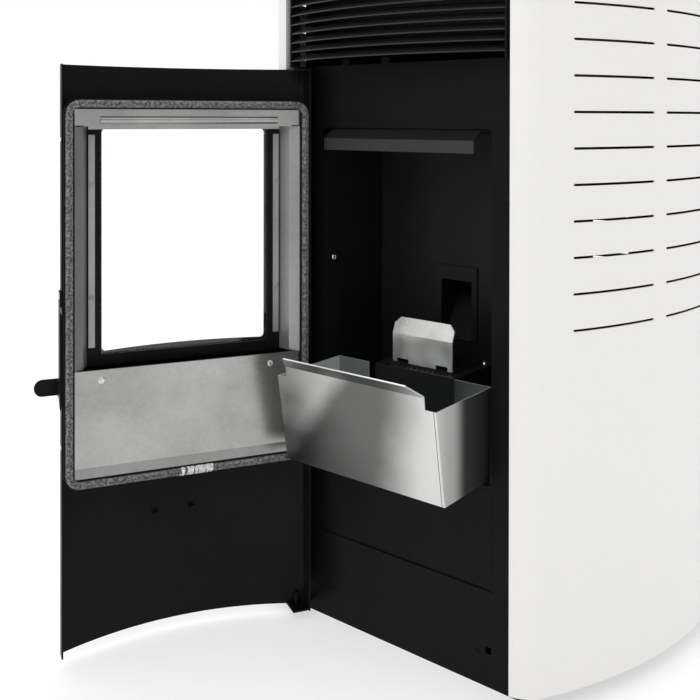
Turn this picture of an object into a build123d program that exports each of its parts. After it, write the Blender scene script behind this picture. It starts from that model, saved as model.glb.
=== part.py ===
from build123d import *
import os
from math import asin, cos, degrees, radians, sin, sqrt

os.makedirs("parts", exist_ok=True)

# All sizes in mm. X is right, Y is back, Z is up, seen from in front of the stove.
# The origin is on the floor under the middle of the casing.

# ---- clearances
move_gap = 0.3  # between pieces that pass each other
shaft_gap = 0.05  # radial, between a shaft and its hole
screw_gap = 0.2  # radial, round a screw's shank

# ---- casing
front_y = -227.0  # front face of the black front frame
back_y = 288.0  # rear edge of the side panels
casing_top_z = 950.0
cover_depth = 15.0  # height of the top cover's edge
cover_sheet = 3.0
cover_skirt = 2.0
panel_sheet = 2.0
frame_sheet = 2.0
panel_bottom_z = 22.0
panel_corner_x = 167.8  # inner front corner of a side panel
panel_corner_reach = 31.5  # that corner ahead of the front frame
panel_return = 24.7  # flange folded back from that corner
panel_strip_width = 29.2  # from that corner to the crease
panel_crease_reach = 14.0
panel_strip_bulge = 3.2
panel_radius = 620.0
panel_crease_angle = 31.5  # where the large arc starts, in degrees from straight back
panel_rear_return = 18.0
slot_length = 135.0
slot_height = 3.0
slot_gap = 26.0  # between two slots of a row
slot_columns = 3
slot_pitch = 42.0
slot_first_z = 436.8
slot_first_arc = 45.5  # arc length from the crease to the first slot

# ---- base
base_height = 33.0
base_sheet = 3.0
base_middle_half_width = 195.0
base_middle_gap = 60.0
base_back_half_width = 205.0

# ---- front frame and service cover
front_top_z = 751.0
frame_border = 39.2  # from the firebox opening to the side panel's corner
mouth_bottom_z = 241.0
mouth_top_z = 669.0
mouth_corner = 6.0
service_overhang = 1.4  # wider than the firebox opening, each side
service_bottom_z = 115.0
service_top_z = 236.0
service_foot_gap = 5.0  # dark gap under the service cover
service_lap = 8.0
peep_size = 8.0  # small square hole low in the front frame
peep_inset = 42.8
peep_z = 44.0

# ---- louvre
blade_pitch = 12.3
blade_first_z = 758.5
blade_depth = 14.0
blade_rise = 8.0
blade_sheet = 1.5
louvre_side_gap = 7.8
louvre_end = 3.0
louvre_shelf = 2.0
louvre_tab_width = 12.5
louvre_tab_height = 10.0
louvre_tab_places = (-89.5, -25.0)
louvre_head_depth = 28.0
guide_sheet = 1.5
guide_foot_gap = 80.0  # rear foot of the air guide behind the front frame

# ---- firebox
box_wall = 4.0
liner_sheet = 3.0
box_back_gap = 142.5  # back liner's face behind the front frame
box_roof_rise = 31.0  # roof above the firebox opening
liner_top_z = 660.0
liner_bend_front_z = 374.0
liner_bend_back_z = 360.0
liner_lean = 3.0
deflector_side_gap = 15.6
deflector_sheet = 2.0
deflector_front_gap = 5.0
deflector_reach = 16.0  # lower lip ahead of the front frame
deflector_drop = 14.0
deflector_lip = 15.5
deflector_length = 60.0

# ---- pellet chute, auger and hopper
chute_half_width = 24.0
chute_bottom_z = 376.0
chute_top_z = 455.0
chute_sheet = 2.0
chute_frame_width = 64.0
chute_frame_top_z = 475.0
chute_frame_depth = 3.0
drop_box_depth = 62.5
drop_box_top_z = 560.0
auger_entry_z = 520.0
auger_tube_radius = 24.0
auger_tube_sheet = 2.0
auger_tube_length = 225.0
auger_angle = 45.0
auger_shaft_radius = 6.0
auger_flight_radius = 20.0
auger_flight_sheet = 3.0
auger_pitch = 30.0
auger_turns = 6
auger_start = 16.0
auger_motor_size = 60.0
auger_motor_length = 80.0
hopper_sheet = 2.0
hopper_half_width = 150.0
hopper_front_gap = 216.0
hopper_length = 250.0
hopper_knee_z = 760.0
hopper_throat = 36.0
hopper_throat_z = 470.0
hopper_throat_gap = 325.0

# ---- burn pot and its housing
housing_half_width = 62.5
housing_front_gap = 31.0
housing_bottom_z = 262.0
housing_top_z = 351.0
housing_sheet = 3.0
pot_half_width = 40.0
pot_front_gap = 58.0
pot_length = 66.0
pot_bottom_z = 268.0
pot_sheet = 3.0
pot_clear = 2.0
rim_sheet = 2.0
rim_half_width = 48.0
rim_front_gap = 46.0
rim_back_gap = 130.0
deck_slot_width = 4.0
deck_slot_length = 7.0
deck_slot_count = 12
flame_half_width = 46.0
flame_front_gap = 50.0
flame_sheet = 2.0
flame_bend_z = 391.0
flame_top_z = 412.0
flame_lean = 9.0
flame_corner = 8.0
flame_tab_width = 14.0
flame_tab_height = 5.0

# ---- ash pan, stored pulled part-way out
pan_side_gap = 11.6
pan_depth = 110.0
pan_height = 112.0
pan_sheet = 1.5
pan_slant = 19.0
pan_travel = 119.0  # from where it is stored to where it is pushed in
pan_stop_gap = 0.5
pan_tab_inset = 15.0
pan_tab_rise = 14.0
pan_lip_reach = 20.0
pan_lip_rise = 15.0
pan_lip_corner = 12.0
pan_cut_half_width = 66.0
pan_cut_gap = 4.0  # below the burn pot housing

# ---- door, measured shut and stored open
door_open_angle = 118.5
door_side_gap = 3.8
door_bottom_z = 15.0
door_top_gap = 3.0  # below the front frame's top
door_edge_reach = 28.0  # side edges ahead of the front frame
door_bow = 32.6
door_sheet = 2.0
door_hinge_flange_gap = 5.0
door_free_flange_gap = 12.0
door_hinge_corner = 10.0
door_free_corner = 3.0
hinge_inset = 12.0
hinge_reach = 27.0
hinge_pin_radius = 3.0
hinge_pin_length = 20.0
hinge_plate = 2.5
hinge_plate_width = 22.0
window_border = 54.0
window_bottom_z = 382.5
window_top_z = 668.0
window_corner = 6.0
glass_side_lap = 7.0
glass_lap = 8.0
glass_sheet = 4.0
glass_frame_margin = 0.5
glass_frame_lap = 16.0
glass_frame_sheet = 2.0
glass_frame_inner_gap = 2.0
rope_radius = 5.0
rope_gap = 0.4
rope_corner = 13.0
rope_below = 17.0  # lowest edge below the firebox opening
rope_above = 35.0
rope_joint_x = -24.0
channel_sheet = 1.5
channel_height = 5.0
inner_sheet = 2.0
reveal_border = 27.0
reveal_drop = 8.0  # depth of the sloping flange beside the window
reveal_lean = 7.0
reveal_bottom_z = 368.0
reveal_rise = 4.0
strip_sheet = 1.2
air_lip_drop = 5.0
air_bead_gap = 2.0
air_bead_height = 9.5
air_bead_rise = 2.8
lower_panel_foot = 12.0
clamp_width = 8.0
clamp_sheet = 2.0
clamp_inset = 13.0
door_screw_inset = 38.7
door_screw_z = 355.0
door_screw_shift = 4.0  # of the pair, towards the free edge
screw_head_radius = 4.5
screw_head_height = 1.6
stud_radius = 3.0
stud_length = 7.0
stud_z = 160.0
stud_places = (-12.0, 37.0)

# ---- latch
lever_sheet = 1.7
lever_pivot_z = 462.0
lever_pivot_reach = 20.0
lever_pin_radius = 3.0
lever_front_reach = 27.0
lever_back_reach = 13.0
lever_bottom_z = 322.0
tab_middle_z = 344.0
tab_half_height = 10.5
tab_reach = 39.0  # tab's face ahead of the front frame
tab_length = 30.0
tab_sheet = 2.0
hook_bottom_z = 443.0
hook_top_z = 450.0
hook_end_gap = 7.0
hook_tip = 1.6
hook_tip_rise = 3.0
keeper_sheet = 3.0
keeper_edge_z = 453.3
keeper_foot_z = 432.0
keeper_width = 24.0
keeper_margin = 10.0
latch_slot_margin = 1.4
latch_slot_shift = 0.5
latch_slot_bottom_z = 430.0
latch_slot_top_z = 470.0

# ---- controls on the top
controls_half_width = 80.0
controls_length = 52.0
controls_gap = 60.0  # front edge behind the front frame
controls_flange = 5.0
controls_sunk = 1.5
display_width = 56.0
display_length = 26.0
display_sheet = 1.5
key_radius = 7.0
key_height = 7.0
key_stand = 1.2
key_pitch = 22.0
key_names = ("key_down", "key_up", "key_menu", "key_power")

# ---- hopper lid
lid_half_width = 148.0
lid_length = 240.0
lid_front_gap = 220.0
lid_sheet = 2.0
lid_skirt = 10.0
lid_rear_gap = 4.0
lid_side_gap = 1.0
lid_pin_radius = 2.5
lid_pin_length = 9.0
lid_pin_head = 0.4
lid_axis_inset = 6.0
lid_flange = 2.0
lid_flange_depth = 12.0

# ---- fans, flue and electrics
flue_duct_half_width = 30.0
flue_duct_depth = 45.0
flue_duct_sheet = 2.0
flue_duct_bottom_z = 100.0
flue_x = 96.0
flue_z = 200.0
flue_radius = 40.0
flue_sheet = 1.5
flue_stand = 45.0
pipe_collar = 5.0  # stop bead round a pipe, behind the back panel
smoke_fan_radius = 70.0
smoke_fan_z = 160.0
smoke_fan_sheet = 2.0
smoke_fan_throat = 60.0
impeller_radius = 55.0
impeller_width = 30.0
impeller_blade = 2.0
impeller_blades = 8
impeller_hub = 12.0
motor_radius = 35.0
motor_length = 45.0
motor_shaft_radius = 4.0
intake_x = -60.0
intake_z = 285.0
intake_radius = 25.0
intake_sheet = 1.5
intake_stand = 40.0
room_fan_left_x = -190.0
room_fan_length = 200.0
room_fan_gap = 215.0
room_fan_size = 90.0
room_fan_sheet = 2.0
rotor_radius = 32.0
rotor_end = 3.0
rotor_blade = 1.5
rotor_blades = 16
room_motor_length = 40.0
room_motor_radius = 28.0
igniter_radius = 5.0
igniter_z = 300.0
igniter_length = 90.0
igniter_flange_radius = 13.0
igniter_flange = 4.0
tube_count = 5
tube_pitch = 40.0
tube_radius = 16.0
tube_sheet = 1.5
tube_front_gap = 10.0
tube_length = 190.0
board_width = 120.0
board_height = 110.0
board_depth = 30.0
board_x = -120.0
board_z = 700.0
inlet_x = -170.0
inlet_z = 120.0
inlet_width = 60.0
inlet_height = 34.0
inlet_depth = 24.0
inlet_flange = 4.0
inlet_flange_sheet = 1.6
socket_width = 24.0
socket_height = 17.0
socket_depth = 16.0
socket_pin = 1.5
rocker_width = 14.0
rocker_height = 22.0
rocker_pin_radius = 2.0
rocker_pin_reach = 1.5
rocker_hollow = 2.0
rocker_corner = 3.0
rocker_radius = 16.0
vent_length = 60.0
vent_height = 4.0
vent_pitch = 12.0
vent_rows = 8
vent_z = 480.0
vent_spacing = 150.0

# ---- screws
casing_screw_inset = 57.8
casing_screw_z = 38.0
casing_screw_radius = 3.0
casing_screw_height = 1.5
wall_screw_gap = 26.5
wall_screw_z = 488.0

# ---- places worked out from the sizes above
cover_bottom_z = casing_top_z - cover_depth
back_face_y = back_y - panel_sheet  # rear face of the back panel
back_inner_y = back_face_y - frame_sheet
crease_y = front_y - panel_crease_reach
panel_crease_x = panel_corner_x + panel_strip_width
slot_rows = int((cover_bottom_z - slot_first_z) / slot_pitch)
base_middle_y = front_y + base_middle_gap
mouth_half_width = panel_corner_x - frame_border
service_half_width = mouth_half_width + service_overhang
peep_x = panel_corner_x - peep_inset
casing_screw_x = panel_corner_x - casing_screw_inset
blade_tip_x = panel_corner_x - louvre_side_gap
louvre_head_z = cover_bottom_z - louvre_head_depth
blade_count = int((louvre_head_z - blade_first_z) / blade_pitch)
box_roof_z = mouth_top_z + box_roof_rise
deflector_half_width = mouth_half_width - deflector_side_gap
hopper_top_z = casing_top_z - lid_flange_depth
pan_half_width = mouth_half_width - pan_side_gap
pan_tab_half_width = pan_half_width - pan_tab_inset
door_half_width = panel_corner_x - door_side_gap
door_top_z = front_top_z - door_top_gap
window_half_width = door_half_width - window_border
glass_half_width = window_half_width + glass_side_lap
reveal_half_width = door_half_width - reveal_border
reveal_top_z = window_top_z + reveal_rise
glass_frame_half_width = reveal_half_width - reveal_lean + glass_frame_margin
rope_bottom_z = mouth_bottom_z - rope_below
rope_top_z = mouth_top_z + rope_above
air_plate_top_z = rope_top_z - 2 * rope_radius
clamp_x = reveal_half_width - clamp_inset
corner_y = front_y - panel_corner_reach
arc_middle_x = panel_crease_x - panel_radius * cos(radians(panel_crease_angle))
arc_middle_y = crease_y + panel_radius * sin(radians(panel_crease_angle))
back_corner_angle = -degrees(asin((back_y - arc_middle_y) / panel_radius))
front_half_width = panel_corner_x + panel_sheet
liner_face_y = front_y + box_back_gap
box_inner_back_y = liner_face_y + liner_sheet
box_back_y = box_inner_back_y + box_wall
box_inner_half_width = mouth_half_width + liner_sheet
frame_back_y = front_y + frame_sheet
drop_box_back_y = liner_face_y + drop_box_depth
door_edge_y = front_y - door_edge_reach
bow_radius = (door_half_width**2 + door_bow**2) / (2 * door_bow)
bow_middle_y = door_edge_y - door_bow + bow_radius
blade_angle = degrees(asin(blade_tip_x / bow_radius))
hinge_x = hinge_inset - door_half_width
hinge_y = front_y - hinge_reach
rope_middle_y = front_y - rope_gap - rope_radius
channel_face_y = rope_middle_y - rope_radius
channel_half_width = door_half_width - door_sheet
rope_middle_x = channel_half_width - channel_sheet - rope_radius
channel_inner_x = rope_middle_x - rope_radius
lining_half_width = channel_inner_x - channel_sheet
lower_panel_bottom_z = rope_bottom_z + 2 * rope_radius + channel_sheet + move_gap
lower_panel_bend_z = lower_panel_bottom_z + lower_panel_foot
door_screw_x = channel_inner_x - door_screw_inset
flue_duct_back_y = box_back_y + flue_duct_depth
smoke_fan_y = flue_duct_back_y + smoke_fan_radius
pan_bottom_z = mouth_bottom_z + move_gap
pan_back_y = front_y + box_back_gap - pan_stop_gap - pan_travel
pan_front_y = pan_back_y - pan_depth
pan_top_z = pan_bottom_z + pan_height


def skin_inner_y(x):
    """Inner face of the shut door's bowed skin at a distance from its middle."""
    return bow_middle_y - sqrt((bow_radius - door_sheet) ** 2 - x**2)


glass_front_y = skin_inner_y(glass_half_width) + move_gap
glass_back_y = glass_front_y + glass_sheet
glass_frame_back_y = glass_back_y + glass_frame_sheet


def arc_place(angle, radius=panel_radius):
    """A point of the right side panel's large arc, by its heading from straight back."""
    return (
        arc_middle_x + radius * cos(radians(angle)),
        arc_middle_y - radius * sin(radians(angle)),
    )


def arc_heading(length):
    """Heading on the large arc at a length from the crease."""
    return panel_crease_angle - degrees(length / panel_radius)


def upright(y):
    """Plane facing the viewer at a depth; its own axes are X and Z."""
    return Plane(origin=(0, y, 0), x_dir=(1, 0, 0), z_dir=(0, -1, 0))


def sideways(x):
    """Plane facing right at a distance; its own axes are Y and Z."""
    return Plane(origin=(x, 0, 0), x_dir=(0, 1, 0), z_dir=(1, 0, 0))


# ---- the stored door is turned about its hinge axis from where it shuts
door_turn = -radians(door_open_angle)
door_along = Vector(cos(door_turn), sin(door_turn), 0)
door_out = Vector(sin(door_turn), -cos(door_turn), 0)


def door_place(x, y, z):
    """Where a point of the shut door lies on the stored, open door."""
    away_x = x - hinge_x
    away_y = y - hinge_y
    return (
        hinge_x + away_x * door_along.X - away_y * door_along.Y,
        hinge_y + away_x * door_along.Y + away_y * door_along.X,
        z,
    )


def door_level(z):
    """Level plane of the door; its own axes are the shut door's X and Y."""
    return Plane(origin=door_place(0, 0, z), x_dir=door_along, z_dir=(0, 0, 1))


def door_face(y):
    """Plane along the door; its own axes are the shut door's X and Z."""
    return Plane(origin=door_place(0, y, 0), x_dir=door_along, z_dir=door_out)


def door_edge(x):
    """Plane across the door; its own axes are the shut door's Y and Z."""
    return Plane(origin=door_place(x, 0, 0), x_dir=-door_out, z_dir=door_along)


# ======================================================================
# Casing
# ======================================================================

strip_chord = Vector(panel_crease_x - panel_corner_x, crease_y - corner_y)
strip_out = Vector(strip_chord.Y, -strip_chord.X).normalized()
strip_middle = Vector(panel_corner_x, corner_y) + strip_chord / 2 + strip_out * panel_strip_bulge
side_height = cover_bottom_z - panel_bottom_z
side_middle_heading = (panel_crease_angle + back_corner_angle) / 2
slot_rows_middle_z = slot_first_z + slot_pitch * (slot_rows - 1) / 2

# right side panel: one bent sheet with rows of long slots
with BuildPart() as side_panel_right:
    with BuildSketch(Plane.XY.offset(panel_bottom_z)):
        with BuildLine():
            fold = Line((panel_corner_x, corner_y + panel_return), (panel_corner_x, corner_y))
            strip = ThreePointArc(fold @ 1, strip_middle, (panel_crease_x, crease_y))
            side = ThreePointArc(strip @ 1, arc_place(side_middle_heading), arc_place(back_corner_angle))
            Line(side @ 1, (side @ 1) - Vector(panel_rear_return, 0))
            offset(amount=panel_sheet, side=Side.LEFT)
        make_face()
    extrude(amount=side_height)
    for column in range(slot_columns):
        middle_arc = slot_first_arc + slot_length / 2 + column * (slot_length + slot_gap)
        heading = arc_heading(middle_arc)
        slot_middle = arc_place(heading)
        slot_plane = Plane(
            origin=(slot_middle[0], slot_middle[1], slot_rows_middle_z),
            x_dir=(sin(radians(heading)), cos(radians(heading)), 0),
            z_dir=(cos(radians(heading)), -sin(radians(heading)), 0),
        )
        with BuildSketch(slot_plane):
            with GridLocations(0, slot_pitch, 1, slot_rows):
                SlotOverall(slot_length, slot_height)
        extrude(amount=panel_strip_width / 2, both=True, mode=Mode.SUBTRACT)
side_panel_right.part.label = "side_panel_right"
export_step(side_panel_right.part, "parts/side_panel_right.step")

# left side panel: its mirror image
with BuildPart() as side_panel_left:
    mirror(side_panel_right.part, about=Plane.YZ)
side_panel_left.part.label = "side_panel_left"
export_step(side_panel_left.part, "parts/side_panel_left.step")

# base tray: the black skirt and bottom that everything stands on
base_outline = [
    (panel_corner_x - move_gap, front_y),
    (base_middle_half_width, base_middle_y),
    (base_back_half_width, back_inner_y),
    (-base_back_half_width, back_inner_y),
    (-base_middle_half_width, base_middle_y),
    (move_gap - panel_corner_x, front_y),
]
with BuildPart() as base_tray:
    with BuildSketch() as base_plan:
        with BuildLine():
            Polyline(base_outline, close=True)
        make_face()
    extrude(amount=base_height)
    with BuildSketch(Plane.XY.offset(base_sheet)):
        add(base_plan.sketch)
        offset(amount=-base_sheet)
    extrude(amount=base_height, mode=Mode.SUBTRACT)
base_tray.part.label = "base_tray"
export_step(base_tray.part, "parts/base_tray.step")

# front frame: black sheet round the firebox opening, with a lip for each side panel
mouth_middle_z = (mouth_bottom_z + mouth_top_z) / 2
service_middle_z = (service_bottom_z + service_top_z) / 2
lever_x = door_half_width + move_gap
latch_slot_half_width = lever_sheet / 2 + latch_slot_margin
latch_slot_x = lever_x + lever_sheet / 2 + latch_slot_shift
latch_slot_middle_z = (latch_slot_bottom_z + latch_slot_top_z) / 2
lip_depth = panel_corner_reach - panel_return
with BuildPart() as front_frame:
    with BuildSketch(upright(front_y)):
        with Locations((0, (base_height + front_top_z) / 2)):
            Rectangle(2 * front_half_width, front_top_z - base_height)
        with Locations((0, mouth_middle_z)):
            RectangleRounded(
                2 * mouth_half_width,
                mouth_top_z - mouth_bottom_z,
                mouth_corner,
                mode=Mode.SUBTRACT,
            )
        with Locations((0, service_middle_z)):
            Rectangle(2 * service_half_width, service_top_z - service_bottom_z, mode=Mode.SUBTRACT)
        with Locations((peep_x, peep_z)):
            Rectangle(peep_size, peep_size, mode=Mode.SUBTRACT)
        with Locations((latch_slot_x, latch_slot_middle_z)):
            Rectangle(
                2 * latch_slot_half_width,
                latch_slot_top_z - latch_slot_bottom_z,
                mode=Mode.SUBTRACT,
            )
    extrude(amount=-frame_sheet)
    lip_x = front_half_width - panel_sheet / 2
    for sign in (-1, 1):
        with BuildSketch(upright(front_y)):
            with Locations((sign * lip_x, (base_height + front_top_z) / 2)):
                Rectangle(panel_sheet, front_top_z - base_height)
        extrude(amount=lip_depth)
front_frame.part.label = "front_frame"
export_step(front_frame.part, "parts/front_frame.step")

# service cover: flush plate below the firebox, lapping behind the front frame
service_cover_bottom_z = service_bottom_z + service_foot_gap
service_cover_top_z = service_top_z - move_gap
with BuildPart() as service_cover:
    with BuildSketch(upright(frame_back_y)):
        with Locations((0, (service_cover_bottom_z + service_cover_top_z) / 2)):
            Rectangle(
                2 * (service_half_width - move_gap),
                service_cover_top_z - service_cover_bottom_z,
            )
    extrude(amount=frame_sheet)
    with BuildSketch(upright(frame_back_y)):
        with Locations((0, service_middle_z - service_lap)):
            Rectangle(
                2 * (service_half_width + service_lap),
                service_top_z - service_bottom_z,
            )
    extrude(amount=-frame_sheet)
service_cover.part.label = "service_cover"
export_step(service_cover.part, "parts/service_cover.step")

# back panel: flat sheet between the side panels' rear flanges, with vents and service holes
back_half_width = arc_place(back_corner_angle)[0] - 2 * panel_sheet
with BuildPart() as back_panel:
    with BuildSketch(upright(back_face_y)):
        with Locations((0, (panel_bottom_z + cover_bottom_z) / 2)):
            Rectangle(2 * back_half_width, cover_bottom_z - panel_bottom_z)
        with Locations((flue_x, flue_z)):
            Circle(flue_radius + move_gap, mode=Mode.SUBTRACT)
        with Locations((intake_x, intake_z)):
            Circle(intake_radius + move_gap, mode=Mode.SUBTRACT)
        with Locations((inlet_x, inlet_z)):
            Rectangle(inlet_width, inlet_height, mode=Mode.SUBTRACT)
        with Locations((0, vent_z)):
            with GridLocations(vent_spacing, vent_pitch, 2, vent_rows):
                SlotOverall(vent_length, vent_height, mode=Mode.SUBTRACT)
    extrude(amount=frame_sheet)
back_panel.part.label = "back_panel"
export_step(back_panel.part, "parts/back_panel.step")

# top cover: pressed sheet that follows the sides and the bowed front
lid_back_y = front_y + lid_front_gap + lid_length
lid_front_y = front_y + lid_front_gap
lid_hole_back_y = lid_back_y + lid_rear_gap
lid_hole_front_y = lid_front_y - lid_side_gap
lid_hole_half_width = lid_half_width + lid_side_gap
lid_hole_middle_y = (lid_hole_back_y + lid_hole_front_y) / 2
lid_hole_length = lid_hole_back_y - lid_hole_front_y
lid_axis_y = lid_back_y - lid_axis_inset
lid_axis_z = casing_top_z - lid_axis_inset
controls_middle_y = front_y + controls_gap + controls_length / 2
cover_front_y = door_edge_y - door_bow
with BuildPart() as top_cover:
    with BuildSketch(Plane.XY.offset(cover_bottom_z)) as cover_plan:
        with BuildLine():
            right_strip = ThreePointArc(
                (panel_corner_x, corner_y),
                strip_middle,
                (panel_crease_x, crease_y),
            )
            right_side = ThreePointArc(
                right_strip @ 1,
                arc_place(side_middle_heading),
                arc_place(back_corner_angle),
            )
            Line(right_side @ 1, (-(right_side @ 1).X, back_y))
            left_side = ThreePointArc(
                (-(right_side @ 1).X, back_y),
                (-arc_place(side_middle_heading)[0], arc_place(side_middle_heading)[1]),
                (-panel_crease_x, crease_y),
            )
            left_strip = ThreePointArc(
                left_side @ 1,
                (-strip_middle.X, strip_middle.Y),
                (-panel_corner_x, corner_y),
            )
            ThreePointArc(left_strip @ 1, (0, cover_front_y), right_strip @ 0)
        make_face()
    extrude(amount=cover_depth)
    with BuildSketch(Plane.XY.offset(cover_bottom_z)):
        add(cover_plan.sketch)
        offset(amount=-cover_skirt)
    extrude(amount=cover_depth - cover_sheet, mode=Mode.SUBTRACT)
    with BuildSketch(Plane.XY.offset(casing_top_z)):
        with Locations((0, lid_hole_middle_y)):
            Rectangle(
                2 * (lid_hole_half_width + lid_flange),
                lid_hole_length + 2 * lid_flange,
            )
    extrude(amount=-lid_flange_depth)
    with BuildSketch(Plane.XY.offset(casing_top_z)):
        with Locations((0, lid_hole_middle_y)):
            Rectangle(2 * lid_hole_half_width, lid_hole_length)
        with Locations((0, controls_middle_y)):
            Rectangle(2 * (controls_half_width + move_gap), controls_length + 2 * move_gap)
    extrude(amount=-cover_depth, mode=Mode.SUBTRACT)
    for sign in (-1, 1):
        with BuildSketch(sideways(sign * lid_hole_half_width)):
            with Locations((lid_axis_y, lid_axis_z)):
                Circle(lid_pin_radius + shaft_gap)
        extrude(amount=sign * lid_flange, mode=Mode.SUBTRACT)
top_cover.part.label = "top_cover"
export_step(top_cover.part, "parts/top_cover.step")

# louvre blades: sloping strips bowed like the door
blade_start = radians(-blade_angle)
blade_out = Vector(sin(blade_start), -cos(blade_start), 0)
blade_plane = Plane(
    origin=(0, bow_middle_y, 0),
    x_dir=blade_out,
    z_dir=blade_out.cross(Vector(0, 0, 1)),
)
bow_axis = Axis((0, bow_middle_y, 0), (0, 0, 1))
with BuildPart() as louvre_blades:
    with BuildSketch(blade_plane):
        for blade in range(blade_count):
            blade_z = blade_first_z + blade * blade_pitch
            with BuildLine():
                Polyline(
                    (bow_radius, blade_z),
                    (bow_radius, blade_z + blade_sheet),
                    (bow_radius - blade_depth, blade_z + blade_rise + blade_sheet),
                    (bow_radius - blade_depth, blade_z + blade_rise),
                    close=True,
                )
            make_face()
    revolve(axis=bow_axis, revolution_arc=2 * blade_angle)
louvre_blades.part.label = "louvre_blades"
export_step(louvre_blades.part, "parts/louvre_blades.step")

# louvre frame: two end bars, a head rail, the foot rail with two tabs and the air guide behind
guide_top_z = louvre_head_z + blade_pitch
guide_foot_z = box_roof_z + box_wall + 2 * tube_radius + move_gap
guide_foot_y = front_y + guide_foot_gap
guide_outline = [
    (frame_back_y, guide_top_z),
    (guide_foot_y, guide_foot_z),
    (frame_back_y, guide_foot_z),
]
louvre_end_angle = degrees(louvre_end / bow_radius)
with BuildPart() as louvre_frame:
    for sign in (-1, 1):
        end_start = radians(sign * blade_angle)
        end_out = Vector(sin(end_start), -cos(end_start), 0)
        end_plane = Plane(
            origin=(0, bow_middle_y, 0),
            x_dir=end_out,
            z_dir=end_out.cross(Vector(0, 0, 1)),
        )
        with BuildSketch(end_plane):
            with Locations((bow_radius - blade_depth / 2, (front_top_z + louvre_head_z) / 2)):
                Rectangle(blade_depth, louvre_head_z - front_top_z)
        revolve(axis=bow_axis, revolution_arc=sign * louvre_end_angle)
    with BuildSketch(upright(frame_back_y)):
        with Locations((0, front_top_z + louvre_shelf / 2)):
            Rectangle(2 * blade_tip_x, louvre_shelf)
        for tab_x in louvre_tab_places:
            with Locations((tab_x, front_top_z + louvre_tab_height / 2)):
                Rectangle(louvre_tab_width, louvre_tab_height)
    extrude(amount=frame_sheet)
    with BuildSketch(Plane.XY.offset(louvre_head_z)):
        with BuildLine():
            head_front = ThreePointArc(
                (-blade_tip_x, bow_middle_y - sqrt(bow_radius**2 - blade_tip_x**2)),
                (0, bow_middle_y - bow_radius),
                (blade_tip_x, bow_middle_y - sqrt(bow_radius**2 - blade_tip_x**2)),
            )
            Polyline(
                head_front @ 1,
                (blade_tip_x, frame_back_y),
                (-blade_tip_x, frame_back_y),
                head_front @ 0,
            )
        make_face()
    extrude(amount=cover_bottom_z - louvre_head_z)
    with BuildSketch(sideways(-blade_tip_x)):
        with BuildLine():
            Polyline(guide_outline, close=True)
        make_face()
    extrude(amount=2 * blade_tip_x)
    with BuildSketch(sideways(guide_sheet - blade_tip_x)):
        with BuildLine():
            Polyline(
                (frame_back_y, guide_top_z - 2 * guide_sheet),
                (guide_foot_y - 2 * guide_sheet, guide_foot_z),
                (frame_back_y, guide_foot_z),
                close=True,
            )
        make_face()
    extrude(amount=2 * (blade_tip_x - guide_sheet), mode=Mode.SUBTRACT)
    with BuildSketch(upright(frame_back_y)):
        with Locations((0, (front_top_z + louvre_shelf + louvre_head_z) / 2)):
            Rectangle(
                2 * (blade_tip_x - guide_sheet),
                louvre_head_z - front_top_z - louvre_shelf,
            )
    extrude(amount=-guide_sheet, mode=Mode.SUBTRACT)
louvre_frame.part.label = "louvre_frame"
export_step(louvre_frame.part, "parts/louvre_frame.step")

# ======================================================================
# Firebox
# ======================================================================

chute_outer = [
    (liner_face_y, chute_bottom_z - chute_sheet),
    (drop_box_back_y, chute_bottom_z - chute_sheet + drop_box_depth),
    (drop_box_back_y, drop_box_top_z),
    (box_back_y, drop_box_top_z),
    (box_back_y, chute_top_z + chute_sheet),
    (liner_face_y, chute_top_z + chute_sheet),
]
chute_inner = [
    (liner_face_y - chute_frame_depth, chute_bottom_z - chute_frame_depth),
    (drop_box_back_y - chute_sheet, chute_bottom_z + drop_box_depth - chute_sheet),
    (drop_box_back_y - chute_sheet, drop_box_top_z - chute_sheet),
    (box_back_y + chute_sheet, drop_box_top_z - chute_sheet),
    (box_back_y + chute_sheet, chute_top_z),
    (liner_face_y - chute_frame_depth, chute_top_z),
]

# firebox shell: welded box, open at the front
shell_height = box_roof_z - mouth_bottom_z
flue_port_z = box_roof_z - flue_duct_half_width
with BuildPart() as firebox_shell:
    with BuildSketch(Plane.XY.offset(mouth_bottom_z - box_wall)):
        with Locations((0, (frame_back_y + box_back_y) / 2)):
            Rectangle(2 * (box_inner_half_width + box_wall), box_back_y - frame_back_y)
    extrude(amount=shell_height + 2 * box_wall)
    with BuildSketch(Plane.XY.offset(mouth_bottom_z)):
        with Locations((0, (frame_back_y + box_inner_back_y) / 2)):
            Rectangle(2 * box_inner_half_width, box_inner_back_y - frame_back_y)
    extrude(amount=shell_height, mode=Mode.SUBTRACT)
    with BuildSketch(sideways(-chute_half_width - chute_sheet)):
        with BuildLine():
            Polyline(chute_outer, close=True)
        make_face()
    extrude(amount=2 * (chute_half_width + chute_sheet), mode=Mode.SUBTRACT)
    with BuildSketch(upright(box_back_y)):
        with Locations((0, igniter_z)):
            Circle(igniter_radius + screw_gap)
        with Locations((intake_x, intake_z)):
            Circle(intake_radius - intake_sheet)
        with Locations((flue_x, flue_port_z)):
            Circle(flue_duct_half_width - flue_duct_sheet)
    extrude(amount=box_wall, mode=Mode.SUBTRACT)
firebox_shell.part.label = "firebox_shell"
export_step(firebox_shell.part, "parts/firebox_shell.step")


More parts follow.
